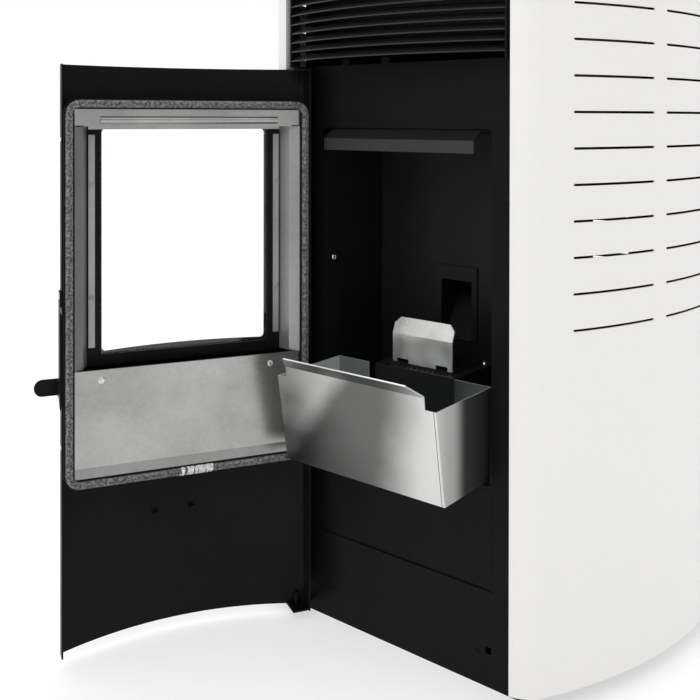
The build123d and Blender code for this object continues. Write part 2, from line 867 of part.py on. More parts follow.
def side_liner(sign):
    """Side liner of the firebox, with its bend sloping down towards the back."""
    liner_ends = ((frame_back_y, liner_bend_front_z), (liner_face_y, liner_bend_back_z))
    with BuildPart() as liner:
        for depth_y, bend_z in liner_ends:
            with BuildSketch(upright(depth_y)):
                with BuildLine():
                    Polyline(
                        (sign * mouth_half_width, liner_top_z),
                        (sign * box_inner_half_width, liner_top_z),
                        (sign * box_inner_half_width, bend_z),
                        (sign * (box_inner_half_width - liner_lean), mouth_bottom_z),
                        (sign * (mouth_half_width - liner_lean), mouth_bottom_z),
                        (sign * mouth_half_width, bend_z),
                        close=True,
                    )
                make_face()
        loft(ruled=True)
    return liner.part


# side liners: the left and the right plate
left_liner = side_liner(-1)
right_liner = side_liner(1)
with BuildPart() as side_liners:
    add(left_liner)
    add(right_liner)
side_liners.part.label = "side_liners"
export_step(side_liners.part, "parts/side_liners.step")

# back liner: flat plate with holes for the chute, the igniter and the air
with BuildPart() as liner_back:
    with BuildSketch(upright(liner_face_y)):
        with Locations((0, (mouth_bottom_z + liner_top_z) / 2)):
            Rectangle(2 * box_inner_half_width, liner_top_z - mouth_bottom_z)
        with Locations((0, igniter_z)):
            Circle(igniter_radius + screw_gap, mode=Mode.SUBTRACT)
        with Locations((intake_x, intake_z)):
            Circle(intake_radius - intake_sheet, mode=Mode.SUBTRACT)
    extrude(amount=-liner_sheet)
    with BuildSketch(sideways(-chute_half_width - chute_sheet)):
        with BuildLine():
            Polyline(chute_outer, close=True)
        make_face()
    extrude(amount=2 * (chute_half_width + chute_sheet), mode=Mode.SUBTRACT)
liner_back.part.label = "liner_back"
export_step(liner_back.part, "parts/liner_back.step")

# smoke deflector: bent plate under the firebox roof, coming out as a visor over the opening
deflector_y = front_y + deflector_front_gap
deflector_top_z = mouth_top_z - move_gap
deflector_bend_z = deflector_top_z - deflector_drop
with BuildPart() as smoke_deflector:
    with BuildSketch(sideways(-deflector_half_width)):
        with BuildLine():
            Polyline(
                (deflector_y + deflector_length, box_roof_z),
                (deflector_y, box_roof_z),
                (deflector_y, deflector_top_z),
                (front_y - deflector_reach, deflector_bend_z),
                (front_y - deflector_reach, deflector_bend_z - deflector_lip),
            )
            offset(amount=deflector_sheet, side=Side.LEFT)
        make_face()
    extrude(amount=2 * deflector_half_width)
smoke_deflector.part.label = "smoke_deflector"
export_step(smoke_deflector.part, "parts/smoke_deflector.step")

# pellet chute: raised frame on the back liner and the drop box behind it
chute_frame_bottom_z = chute_bottom_z - chute_frame_depth
with BuildPart() as pellet_chute:
    with BuildSketch(sideways(-chute_half_width - chute_sheet)):
        with BuildLine():
            Polyline(chute_outer, close=True)
        make_face()
    extrude(amount=2 * (chute_half_width + chute_sheet))
    with BuildSketch(upright(liner_face_y)):
        with Locations((0, (chute_frame_bottom_z + chute_frame_top_z) / 2)):
            Rectangle(chute_frame_width, chute_frame_top_z - chute_frame_bottom_z)
    extrude(amount=chute_frame_depth)
    with BuildSketch(sideways(-chute_half_width)):
        with BuildLine():
            Polyline(chute_inner, close=True)
        make_face()
    extrude(amount=2 * chute_half_width, mode=Mode.SUBTRACT)
    with BuildSketch(upright(drop_box_back_y)):
        with Locations((0, auger_entry_z)):
            Ellipse(
                auger_tube_radius - auger_tube_sheet,
                (auger_tube_radius - auger_tube_sheet) / cos(radians(auger_angle)),
            )
    extrude(amount=chute_sheet, mode=Mode.SUBTRACT)
pellet_chute.part.label = "pellet_chute"
export_step(pellet_chute.part, "parts/pellet_chute.step")

# burn pot housing: box in front of the back liner, with a slotted deck
housing_y = front_y + housing_front_gap
pot_front_y = front_y + pot_front_gap
pot_middle_y = pot_front_y + pot_length / 2
with BuildPart() as burn_pot_housing:
    with BuildSketch(Plane.XY.offset(housing_bottom_z)):
        with Locations((0, (housing_y + liner_face_y) / 2)):
            Rectangle(2 * housing_half_width, liner_face_y - housing_y)
    extrude(amount=housing_top_z - housing_bottom_z)
    with BuildSketch(Plane.XY.offset(housing_bottom_z)):
        with Locations((0, (housing_y + liner_face_y) / 2)):
            Rectangle(
                2 * (housing_half_width - housing_sheet),
                liner_face_y - housing_y - 2 * housing_sheet,
            )
    extrude(amount=housing_top_z - housing_bottom_z - housing_sheet, mode=Mode.SUBTRACT)
    with BuildSketch(Plane.XY.offset(housing_top_z)):
        with Locations((0, pot_middle_y)):
            Rectangle(2 * (pot_half_width + pot_clear), pot_length + 2 * pot_clear)
        with Locations((0, (housing_y + front_y + rim_front_gap) / 2)):
            with GridLocations(2 * deck_slot_width, 0, deck_slot_count, 1):
                SlotOverall(deck_slot_length, deck_slot_width, rotation=90)
    extrude(amount=-housing_sheet, mode=Mode.SUBTRACT)
    with BuildSketch(upright(liner_face_y)):
        with Locations((0, igniter_z)):
            Circle(igniter_radius + screw_gap)
        with Locations((intake_x, intake_z)):
            Circle(intake_radius - intake_sheet)
    extrude(amount=housing_sheet, mode=Mode.SUBTRACT)
burn_pot_housing.part.label = "burn_pot_housing"
export_step(burn_pot_housing.part, "parts/burn_pot_housing.step")

# burn pot: open box with a rim that rests on the deck and a drilled bottom
rim_y = front_y + rim_front_gap
rim_back_y = front_y + rim_back_gap
rim_top_z = housing_top_z + rim_sheet
with BuildPart() as burn_pot:
    with BuildSketch(Plane.XY.offset(pot_bottom_z)):
        with Locations((0, pot_middle_y)):
            Rectangle(2 * pot_half_width, pot_length)
    extrude(amount=rim_top_z - pot_bottom_z)
    with BuildSketch(Plane.XY.offset(housing_top_z)):
        with Locations((0, (rim_y + rim_back_y) / 2)):
            Rectangle(2 * rim_half_width, rim_back_y - rim_y)
    extrude(amount=rim_sheet)
    with BuildSketch(Plane.XY.offset(pot_bottom_z + pot_sheet)):
        with Locations((0, pot_middle_y)):
            Rectangle(2 * (pot_half_width - pot_sheet), pot_length - 2 * pot_sheet)
    extrude(amount=rim_top_z - pot_bottom_z, mode=Mode.SUBTRACT)
    with BuildSketch(Plane.XY.offset(pot_bottom_z)):
        with Locations((0, pot_middle_y)):
            with GridLocations(pot_half_width / 3, pot_length / 5, 5, 4):
                Circle(pot_sheet)
    extrude(amount=pot_sheet, mode=Mode.SUBTRACT)
    with BuildSketch(upright(pot_front_y + pot_length)):
        with Locations((0, igniter_z)):
            Circle(2 * igniter_radius)
    extrude(amount=pot_sheet, mode=Mode.SUBTRACT)
burn_pot.part.label = "burn_pot"
export_step(burn_pot.part, "parts/burn_pot.step")

# flame plate: bright bent plate standing on the pot's rim on three tabs
flame_y = front_y + flame_front_gap
with BuildPart() as flame_plate:
    with BuildSketch(sideways(-flame_half_width)):
        with BuildLine():
            Polyline(
                (flame_y, rim_top_z),
                (flame_y, flame_bend_z),
                (flame_y + flame_lean, flame_top_z),
            )
            offset(amount=flame_sheet, side=Side.RIGHT)
        make_face()
    extrude(amount=2 * flame_half_width)
    with BuildSketch(upright(flame_y - flame_sheet)):
        for sign in (-1, 1):
            with Locations((sign * (flame_half_width + flame_tab_width) / 2, rim_top_z)):
                Rectangle(
                    flame_half_width - 2 * flame_tab_width,
                    2 * flame_tab_height,
                )
    extrude(amount=-4 * flame_sheet, mode=Mode.SUBTRACT)
    with BuildSketch(upright(flame_y - flame_sheet)):
        for sign in (-1, 1):
            with BuildLine():
                Polyline(
                    (sign * flame_half_width, flame_top_z - flame_corner),
                    (sign * (flame_half_width + 1), flame_top_z - flame_corner),
                    (sign * (flame_half_width + 1), flame_top_z + 1),
                    (sign * (flame_half_width - flame_corner), flame_top_z + 1),
                    (sign * (flame_half_width - flame_corner), flame_top_z),
                    close=True,
                )
            make_face()
    extrude(amount=-2 * flame_lean, mode=Mode.SUBTRACT)
flame_plate.part.label = "flame_plate"
export_step(flame_plate.part, "parts/flame_plate.step")

# ash pan: bent sheet box with a slanted front, a raised tab with a lip and a cut-out back
pan_side = [
    (pan_front_y, pan_bottom_z),
    (pan_back_y, pan_bottom_z),
    (pan_back_y, pan_top_z),
    (pan_front_y - pan_slant, pan_top_z),
]
pan_inside = [
    (pan_front_y + pan_sheet, pan_bottom_z + pan_sheet),
    (pan_back_y - pan_sheet, pan_bottom_z + pan_sheet),
    (pan_back_y - pan_sheet, pan_top_z + pan_sheet),
    (pan_front_y + pan_sheet - pan_slant, pan_top_z + pan_sheet),
]
pan_tab_slant = pan_slant * (1 + pan_tab_rise / pan_height)
pan_tab_y = pan_front_y - pan_tab_slant
pan_tab_z = pan_top_z + pan_tab_rise
pan_lip_y = pan_tab_y - pan_lip_reach
pan_lip_z = pan_tab_z + pan_lip_rise
pan_cut_z = housing_bottom_z - pan_cut_gap
with BuildPart() as ash_pan:
    with BuildSketch(sideways(-pan_half_width)):
        with BuildLine():
            Polyline(pan_side, close=True)
        make_face()
    extrude(amount=2 * pan_half_width)
    with BuildSketch(sideways(pan_sheet - pan_half_width)):
        with BuildLine():
            Polyline(pan_inside, close=True)
        make_face()
    extrude(amount=2 * (pan_half_width - pan_sheet), mode=Mode.SUBTRACT)
    with BuildSketch(sideways(-pan_tab_half_width)):
        with BuildLine():
            Polyline(
                (pan_front_y - pan_slant, pan_top_z),
                (pan_tab_y, pan_tab_z),
                (pan_lip_y, pan_lip_z),
                (pan_lip_y + pan_sheet, pan_lip_z + pan_sheet),
                (pan_tab_y + pan_sheet, pan_tab_z + pan_sheet),
                (pan_front_y - pan_slant + pan_sheet, pan_top_z),
                close=True,
            )
        make_face()
    extrude(amount=2 * pan_tab_half_width)
    with BuildSketch(upright(pan_lip_y - pan_sheet)):
        for sign in (-1, 1):
            with BuildLine():
                Polyline(
                    (sign * pan_tab_half_width, pan_lip_z - pan_lip_corner),
                    (sign * (pan_tab_half_width + 1), pan_lip_z - pan_lip_corner),
                    (sign * (pan_tab_half_width + 1), pan_lip_z + 2 * pan_sheet),
                    (sign * (pan_tab_half_width - pan_lip_corner), pan_lip_z + 2 * pan_sheet),
                    (sign * (pan_tab_half_width - pan_lip_corner), pan_lip_z),
                    close=True,
                )
            make_face()
    extrude(amount=-2 * pan_lip_reach, mode=Mode.SUBTRACT)
    with BuildSketch(upright(pan_back_y)):
        with Locations((0, (pan_cut_z + pan_top_z) / 2)):
            Rectangle(2 * pan_cut_half_width, pan_top_z - pan_cut_z)
    extrude(amount=pan_sheet, mode=Mode.SUBTRACT)
ash_pan.part.label = "ash_pan"
export_step(ash_pan.part, "parts/ash_pan.step")

# ======================================================================
# Hopper, auger and heat exchanger
# ======================================================================

hopper_middle_y = front_y + hopper_front_gap + hopper_length / 2
throat_y = front_y + hopper_throat_gap
auger_down = Vector(0, cos(radians(auger_angle)), -sin(radians(auger_angle)))
auger_entry = Vector(0, drop_box_back_y, auger_entry_z)


def auger_plane(distance):
    """Plane square to the auger, at a distance down the tube from the drop box."""
    return Plane(origin=auger_entry + auger_down * distance, x_dir=(1, 0, 0), z_dir=auger_down)


tube_lead = auger_tube_radius + auger_tube_sheet
# auger tube: sloping tube from the hopper's throat up to the drop box
with BuildPart() as auger_tube:
    with BuildSketch(auger_plane(-tube_lead)):
        Circle(auger_tube_radius)
        Circle(auger_tube_radius - auger_tube_sheet, mode=Mode.SUBTRACT)
    extrude(amount=auger_tube_length + tube_lead)
    split(bisect_by=Plane(origin=auger_entry, z_dir=(0, 1, 0)), keep=Keep.TOP)
    with BuildSketch(Plane.XY.offset(hopper_throat_z)):
        with Locations((0, throat_y)):
            Rectangle(hopper_throat - 2 * hopper_sheet, hopper_throat - 2 * hopper_sheet)
    extrude(amount=-hopper_throat_z / 5, mode=Mode.SUBTRACT)
auger_tube.part.label = "auger_tube"
export_step(auger_tube.part, "parts/auger_tube.step")

# hopper: straight upper part, tapered lower part and a throat saddled on the tube
with BuildPart() as hopper:
    for inset in (0, hopper_sheet):
        hopper_mode = Mode.SUBTRACT if inset else Mode.ADD
        with BuildSketch(Plane.XY.offset(hopper_knee_z)):
            with Locations((0, hopper_middle_y)):
                Rectangle(2 * (hopper_half_width - inset), hopper_length - 2 * inset)
        extrude(amount=hopper_top_z - hopper_knee_z, mode=hopper_mode)
        with BuildSketch(Plane.XY.offset(hopper_throat_z)):
            with Locations((0, throat_y)):
                Rectangle(hopper_throat - 2 * inset, hopper_throat - 2 * inset)
        with BuildSketch(Plane.XY.offset(hopper_knee_z)):
            with Locations((0, hopper_middle_y)):
                Rectangle(2 * (hopper_half_width - inset), hopper_length - 2 * inset)
        loft(mode=hopper_mode)
        with BuildSketch(Plane.XY.offset(hopper_throat_z)):
            with Locations((0, throat_y)):
                Rectangle(hopper_throat - 2 * inset, hopper_throat - 2 * inset)
        extrude(amount=-hopper_throat_z / 5, mode=hopper_mode)
    with BuildSketch(auger_plane(0)):
        Circle(auger_tube_radius)
    extrude(amount=auger_tube_length, mode=Mode.SUBTRACT)
    tube_reach = (throat_y - drop_box_back_y) / cos(radians(auger_angle))
    split(
        bisect_by=Plane(
            origin=auger_entry + auger_down * tube_reach,
            z_dir=(0, sin(radians(auger_angle)), cos(radians(auger_angle))),
        ),
        keep=Keep.TOP,
    )
hopper.part.label = "hopper"
export_step(hopper.part, "parts/hopper.step")

# auger screw: shaft with one flight wound round it
flight_length = auger_pitch * auger_turns
with BuildPart() as auger_screw:
    with BuildSketch(auger_plane(auger_start)):
        Circle(auger_shaft_radius)
    extrude(amount=auger_tube_length - auger_start - move_gap)
    flight_plane = auger_plane(auger_start + auger_flight_sheet)
    flight_path = flight_plane.from_local_coords(
        Edge.make_helix(auger_pitch, flight_length, auger_shaft_radius)
    )
    flight_start = flight_path @ 0
    flight_outward = (flight_start - flight_plane.origin).normalized()
    with BuildSketch(
        Plane(origin=flight_start, x_dir=flight_outward, z_dir=flight_path % 0)
    ):
        with Locations(((auger_flight_radius - auger_shaft_radius) / 2, 0)):
            Rectangle(auger_flight_radius - auger_shaft_radius + 2, auger_flight_sheet)
    sweep(path=flight_path, is_frenet=True)
auger_screw.part.label = "auger_screw"
export_step(auger_screw.part, "parts/auger_screw.step")

# gear motor: gearbox and motor on the tube's lower end
with BuildPart() as auger_motor:
    with BuildSketch(auger_plane(auger_tube_length)):
        RectangleRounded(auger_motor_size, auger_motor_size, auger_motor_size / 10)
    extrude(amount=auger_motor_length / 2)
    with BuildSketch(auger_plane(auger_tube_length + auger_motor_length / 2)):
        Circle(auger_motor_size / 3)
    extrude(amount=auger_motor_length / 2)
auger_motor.part.label = "auger_motor"
export_step(auger_motor.part, "parts/auger_motor.step")

# heat exchanger: tubes along the firebox roof
with BuildPart() as heat_exchanger:
    with BuildSketch(upright(front_y + tube_front_gap)):
        with Locations((0, box_roof_z + box_wall + tube_radius)):
            with GridLocations(tube_pitch, 0, tube_count, 1):
                Circle(tube_radius)
                Circle(tube_radius - tube_sheet, mode=Mode.SUBTRACT)
    extrude(amount=-tube_length)
heat_exchanger.part.label = "heat_exchanger"
export_step(heat_exchanger.part, "parts/heat_exchanger.step")

# ======================================================================
# Flue, fans and electrics
# ======================================================================

# flue duct: box-section duct down the firebox's back
with BuildPart() as flue_duct:
    with BuildSketch(Plane.XY.offset(flue_duct_bottom_z)):
        with Locations((flue_x, box_back_y + flue_duct_depth / 2)):
            Rectangle(2 * flue_duct_half_width, flue_duct_depth)
    extrude(amount=box_roof_z - flue_duct_bottom_z)
    with BuildSketch(Plane.XY.offset(flue_duct_bottom_z + flue_duct_sheet)):
        with Locations((flue_x, box_back_y + flue_duct_depth / 2)):
            Rectangle(
                2 * (flue_duct_half_width - flue_duct_sheet),
                flue_duct_depth - 2 * flue_duct_sheet,
            )
    extrude(amount=box_roof_z - flue_duct_bottom_z - 2 * flue_duct_sheet, mode=Mode.SUBTRACT)
    with BuildSketch(upright(box_back_y)):
        with Locations((flue_x, flue_port_z)):
            Circle(flue_duct_half_width - flue_duct_sheet)
    extrude(amount=-flue_duct_sheet, mode=Mode.SUBTRACT)
    with BuildSketch(upright(flue_duct_back_y)):
        with Locations((flue_x, smoke_fan_z)):
            Circle(flue_duct_half_width - flue_duct_sheet)
    extrude(amount=flue_duct_sheet, mode=Mode.SUBTRACT)
flue_duct.part.label = "flue_duct"
export_step(flue_duct.part, "parts/flue_duct.step")

# smoke fan housing: round housing with an inlet from the duct, a throat and a foot
fan_half_width = flue_duct_half_width
throat_back_y = smoke_fan_y + smoke_fan_radius + smoke_fan_throat / 2
inlet_box_half = flue_duct_half_width - flue_duct_sheet
with BuildPart() as smoke_fan_housing:
    for inset in (0, smoke_fan_sheet):
        fan_mode = Mode.SUBTRACT if inset else Mode.ADD
        with BuildSketch(sideways(flue_x - fan_half_width + inset)):
            with Locations((smoke_fan_y, smoke_fan_z)):
                Circle(smoke_fan_radius - inset)
            with Locations(((smoke_fan_y + throat_back_y) / 2, flue_z)):
                Rectangle(
                    throat_back_y - smoke_fan_y - 2 * inset,
                    smoke_fan_throat - 2 * inset,
                )
            with Locations(((flue_duct_back_y + smoke_fan_y) / 2, smoke_fan_z)):
                Rectangle(
                    smoke_fan_y - flue_duct_back_y - 2 * inset,
                    2 * (inlet_box_half - inset) + 2 * smoke_fan_sheet,
                )
        extrude(amount=2 * (fan_half_width - inset), mode=fan_mode)
    with BuildSketch(upright(flue_duct_back_y)):
        with Locations((flue_x, smoke_fan_z)):
            Circle(inlet_box_half - smoke_fan_sheet)
    extrude(amount=-2 * smoke_fan_sheet, mode=Mode.SUBTRACT)
    with BuildSketch(upright(throat_back_y)):
        with Locations((flue_x, flue_z)):
            Circle(inlet_box_half - smoke_fan_sheet)
    extrude(amount=smoke_fan_sheet, mode=Mode.SUBTRACT)
    with BuildSketch(sideways(flue_x + fan_half_width - smoke_fan_sheet)):
        with Locations((smoke_fan_y, smoke_fan_z)):
            Circle(motor_shaft_radius + shaft_gap)
    extrude(amount=smoke_fan_sheet, mode=Mode.SUBTRACT)
    with BuildSketch(Plane.XY.offset(base_sheet)):
        with Locations((flue_x, smoke_fan_y)):
            Rectangle(2 * fan_half_width, smoke_fan_radius)
            Rectangle(
                2 * (fan_half_width - smoke_fan_sheet),
                smoke_fan_radius - 2 * smoke_fan_sheet,
                mode=Mode.SUBTRACT,
            )
    extrude(until=Until.NEXT)
smoke_fan_housing.part.label = "smoke_fan_housing"
export_step(smoke_fan_housing.part, "parts/smoke_fan_housing.step")

# smoke fan motor, outside the housing
with BuildPart() as smoke_fan_motor:
    with BuildSketch(sideways(flue_x + fan_half_width)):
        with Locations((smoke_fan_y, smoke_fan_z)):
            Circle(motor_radius)
            Circle(motor_shaft_radius + shaft_gap, mode=Mode.SUBTRACT)
    extrude(amount=motor_length)
smoke_fan_motor.part.label = "smoke_fan_motor"
export_step(smoke_fan_motor.part, "parts/smoke_fan_motor.step")

# smoke impeller: back plate, blades, hub and the shaft into the motor
impeller_blade_middle = (impeller_radius + impeller_hub) / 2 - impeller_blade
with BuildPart() as smoke_impeller:
    with BuildSketch(sideways(flue_x - impeller_width / 2)):
        with Locations((smoke_fan_y, smoke_fan_z)):
            Circle(impeller_radius)
    extrude(amount=impeller_blade)
    with BuildSketch(sideways(flue_x - impeller_width / 2)):
        with Locations((smoke_fan_y, smoke_fan_z)):
            Circle(impeller_hub)
            with PolarLocations(impeller_blade_middle, impeller_blades):
                Rectangle(impeller_radius - impeller_hub, impeller_blade)
    extrude(amount=impeller_width)
    with BuildSketch(sideways(flue_x)):
        with Locations((smoke_fan_y, smoke_fan_z)):
            Circle(motor_shaft_radius)
    extrude(amount=fan_half_width + motor_length / 2)
smoke_impeller.part.label = "smoke_impeller"
export_step(smoke_impeller.part, "parts/smoke_impeller.step")

# flue spigot: round pipe out through the back panel
with BuildPart() as flue_spigot:
    with BuildSketch(upright(throat_back_y)):
        with Locations((flue_x, flue_z)):
            Circle(flue_radius)
            Circle(flue_radius - flue_sheet, mode=Mode.SUBTRACT)
    extrude(amount=throat_back_y - back_y - flue_stand)
    with BuildSketch(upright(back_face_y)):
        with Locations((flue_x, flue_z)):
            Circle(flue_radius + pipe_collar)
            Circle(flue_radius - flue_sheet, mode=Mode.SUBTRACT)
    extrude(amount=back_face_y - back_y)
flue_spigot.part.label = "flue_spigot"
export_step(flue_spigot.part, "parts/flue_spigot.step")

# air intake: round pipe from the back panel to the firebox
with BuildPart() as air_intake:
    with BuildSketch(upright(box_back_y)):
        with Locations((intake_x, intake_z)):
            Circle(intake_radius)
            Circle(intake_radius - intake_sheet, mode=Mode.SUBTRACT)
    extrude(amount=box_back_y - back_y - intake_stand)
    with BuildSketch(upright(back_face_y)):
        with Locations((intake_x, intake_z)):
            Circle(intake_radius + pipe_collar)
            Circle(intake_radius - intake_sheet, mode=Mode.SUBTRACT)
    extrude(amount=back_face_y - back_y)
air_intake.part.label = "air_intake"
export_step(air_intake.part, "parts/air_intake.step")

# room-air blower housing: long box open above and below, standing in the base
room_fan_y = front_y + room_fan_gap + room_fan_size / 2
room_fan_z = base_sheet + room_fan_size / 2
room_fan_middle_x = room_fan_left_x + room_fan_length / 2
room_fan_right_x = room_fan_left_x + room_fan_length
with BuildPart() as room_fan_housing:
    with BuildSketch(Plane.XY.offset(base_sheet)):
        with Locations((room_fan_middle_x, room_fan_y)):
            Rectangle(room_fan_length, room_fan_size)
            Rectangle(
                room_fan_length - 2 * room_fan_sheet,
                room_fan_size - 2 * room_fan_sheet,
                mode=Mode.SUBTRACT,
            )
    extrude(amount=room_fan_size)
    with BuildSketch(sideways(room_fan_left_x)):
        with Locations((room_fan_y, room_fan_z)):
            Circle(motor_shaft_radius + shaft_gap)
    extrude(amount=room_fan_length, mode=Mode.SUBTRACT)
room_fan_housing.part.label = "room_fan_housing"
export_step(room_fan_housing.part, "parts/room_fan_housing.step")

# room-air rotor: drum of narrow blades between two end discs, with its shaft
rotor_left_x = room_fan_left_x + room_fan_sheet + rotor_end
rotor_length = room_fan_length - 2 * (room_fan_sheet + rotor_end)
rotor_ring_radius = rotor_radius - 2 * rotor_end
with BuildPart() as room_rotor:
    for disc_x in (rotor_left_x, rotor_left_x + rotor_length - rotor_end):
        with BuildSketch(sideways(disc_x)):
            with Locations((room_fan_y, room_fan_z)):
                Circle(rotor_radius)
        extrude(amount=rotor_end)
    with BuildSketch(sideways(rotor_left_x)):
        with Locations((room_fan_y, room_fan_z)):
            with PolarLocations(rotor_ring_radius + rotor_end / 2, rotor_blades):
                Rectangle(2 * rotor_end, rotor_blade, rotation=30)
    extrude(amount=rotor_length)
    with BuildSketch(sideways(room_fan_left_x)):
        with Locations((room_fan_y, room_fan_z)):
            Circle(motor_shaft_radius)
    extrude(amount=room_fan_length + room_motor_length / 2)
room_rotor.part.label = "room_rotor"
export_step(room_rotor.part, "parts/room_rotor.step")

# room-air blower motor
with BuildPart() as room_fan_motor:
    with BuildSketch(sideways(room_fan_right_x)):
        with Locations((room_fan_y, room_fan_z)):
            Circle(room_motor_radius)
            Circle(motor_shaft_radius + shaft_gap, mode=Mode.SUBTRACT)
    extrude(amount=room_motor_length)
room_fan_motor.part.label = "room_fan_motor"
export_step(room_fan_motor.part, "parts/room_fan_motor.step")

# igniter: heating rod through the firebox's back, held by its flange
igniter_tip_y = pot_front_y + pot_length + move_gap
with BuildPart() as igniter:
    with BuildSketch(upright(igniter_tip_y)):
        with Locations((0, igniter_z)):
            Circle(igniter_radius)
    extrude(amount=-igniter_length)
    with BuildSketch(upright(box_back_y)):
        with Locations((0, igniter_z)):
            Circle(igniter_flange_radius)
    extrude(amount=-igniter_flange)
igniter.part.label = "igniter"
export_step(igniter.part, "parts/igniter.step")

# control board in its box on the back panel
with BuildPart() as control_board:
    with BuildSketch(upright(back_inner_y)):
        with Locations((board_x, board_z)):
            RectangleRounded(board_width, board_height, board_depth / 6)
    extrude(amount=board_depth)
control_board.part.label = "control_board"
export_step(control_board.part, "parts/control_board.step")

# mains inlet: socket with three flat pins, and the well of the switch beside it
rocker_x = inlet_x + inlet_width / 2 - inlet_flange - rocker_width / 2
socket_x = inlet_x - inlet_width / 2 + inlet_flange + socket_width / 2
rocker_axis_y = back_face_y - inlet_depth / 2
with BuildPart() as mains_inlet:
    with BuildSketch(upright(back_face_y)):
        with Locations((inlet_x, inlet_z)):
            Rectangle(inlet_width, inlet_height)
    extrude(amount=inlet_depth)
    with BuildSketch(upright(back_face_y)):
        with Locations((inlet_x, inlet_z)):
            RectangleRounded(
                inlet_width + 2 * inlet_flange,
                inlet_height + 2 * inlet_flange,
                inlet_flange,
            )
    extrude(amount=-inlet_flange_sheet)
    with BuildSketch(upright(back_face_y - socket_depth)):
        with Locations((socket_x, inlet_z)):
            RectangleRounded(socket_width, socket_height, inlet_flange)
    extrude(amount=-socket_depth - inlet_flange_sheet, mode=Mode.SUBTRACT)
    with BuildSketch(upright(back_face_y - socket_depth)):
        with Locations((socket_x, inlet_z)):
            with GridLocations(socket_width / 4, 0, 3, 1):
                Rectangle(socket_pin, 3 * socket_pin)
    extrude(amount=-socket_depth / 2)
    with BuildSketch(upright(back_face_y - inlet_depth + inlet_flange_sheet)):
        with Locations((rocker_x, inlet_z)):
            Rectangle(rocker_width + 2 * move_gap, rocker_height + 2 * move_gap)
    extrude(amount=-inlet_depth, mode=Mode.SUBTRACT)
    with BuildSketch(sideways(rocker_x)):
        with Locations((rocker_axis_y, inlet_z)):
            Circle(rocker_pin_radius + shaft_gap)
    extrude(
        amount=rocker_width / 2 + rocker_pin_reach + move_gap,
        both=True,
        mode=Mode.SUBTRACT,
    )
mains_inlet.part.label = "mains_inlet"
export_step(mains_inlet.part, "parts/mains_inlet.step")

# mains rocker: switch key tilting about a level axis in its well
rocker_face_y = rocker_axis_y + rocker_radius
with BuildPart() as mains_rocker:
    with BuildSketch(sideways(rocker_x - rocker_width / 2)):
        with BuildLine():
            Polyline(
                (rocker_axis_y - inlet_depth / 4, inlet_z),
                (rocker_axis_y, inlet_z - rocker_height / 3),
                (rocker_face_y, inlet_z - rocker_height / 2 + rocker_corner),
                (rocker_face_y - rocker_hollow, inlet_z),
                (rocker_face_y, inlet_z + rocker_height / 2 - rocker_corner),
                (rocker_axis_y, inlet_z + rocker_height / 3),
                close=True,
            )
        make_face()
    extrude(amount=rocker_width)
    with BuildSketch(sideways(rocker_x)):
        with Locations((rocker_axis_y, inlet_z)):
            Circle(rocker_pin_radius)
    extrude(amount=rocker_width / 2 + rocker_pin_reach, both=True)
mains_rocker.part.label = "mains_rocker"
export_step(mains_rocker.part, "parts/mains_rocker.step")

# ======================================================================
# Controls and hopper lid
# ======================================================================

cover_under_z = casing_top_z - cover_sheet
controls_top_z = casing_top_z - controls_sunk
controls_bottom_z = cover_bottom_z
display_x = display_width / 2 - controls_half_width + key_radius
key_first_x = controls_half_width - key_radius - key_pitch * (len(key_names) - 0.5)
key_top_z = controls_top_z + key_stand


def key_place(index):
    """Middle of a key on the control panel."""
    return (key_first_x + (index + 0.5) * key_pitch, controls_middle_y)


# control panel: plate let into the top cover, flanged under it
with BuildPart() as control_panel:
    with BuildSketch(Plane.XY.offset(controls_bottom_z)):
        with Locations((0, controls_middle_y)):
            Rectangle(2 * controls_half_width, controls_length)
    extrude(amount=controls_top_z - controls_bottom_z)
    with BuildSketch(Plane.XY.offset(cover_under_z)):
        with Locations((0, controls_middle_y)):
            Rectangle(
                2 * (controls_half_width + controls_flange),
                controls_length + 2 * controls_flange,
            )
    extrude(amount=-cover_sheet)
    with BuildSketch(Plane.XY.offset(controls_top_z)):
        with Locations((display_x, controls_middle_y)):
            Rectangle(display_width, display_length)
    extrude(amount=-display_sheet, mode=Mode.SUBTRACT)
    for index in range(len(key_names)):
        with BuildSketch(Plane.XY.offset(controls_top_z)):
            with Locations(key_place(index)):
                Circle(key_radius + move_gap)
        extrude(amount=-key_height, mode=Mode.SUBTRACT)
control_panel.part.label = "control_panel"
export_step(control_panel.part, "parts/control_panel.step")

# display window
with BuildPart() as display_window:
    with BuildSketch(Plane.XY.offset(controls_top_z - display_sheet)):
        with Locations((display_x, controls_middle_y)):
            Rectangle(display_width, display_length)
    extrude(amount=display_sheet)
display_window.part.label = "display_window"
export_step(display_window.part, "parts/display_window.step")

# keys: round push buttons
key_travel = 1.0
key_length = key_height + key_stand - key_travel - move_gap
for index, key_name in enumerate(key_names):
    with BuildPart() as key:
        with BuildSketch(Plane.XY.offset(key_top_z)):
            with Locations(key_place(index)):
                Circle(key_radius)
        extrude(amount=-key_length)
        fillet(key.faces().sort_by(Axis.Z)[-1].edges(), key_stand / 2)
    key.part.label = key_name
    export_step(key.part, f"parts/{key_name}.step")

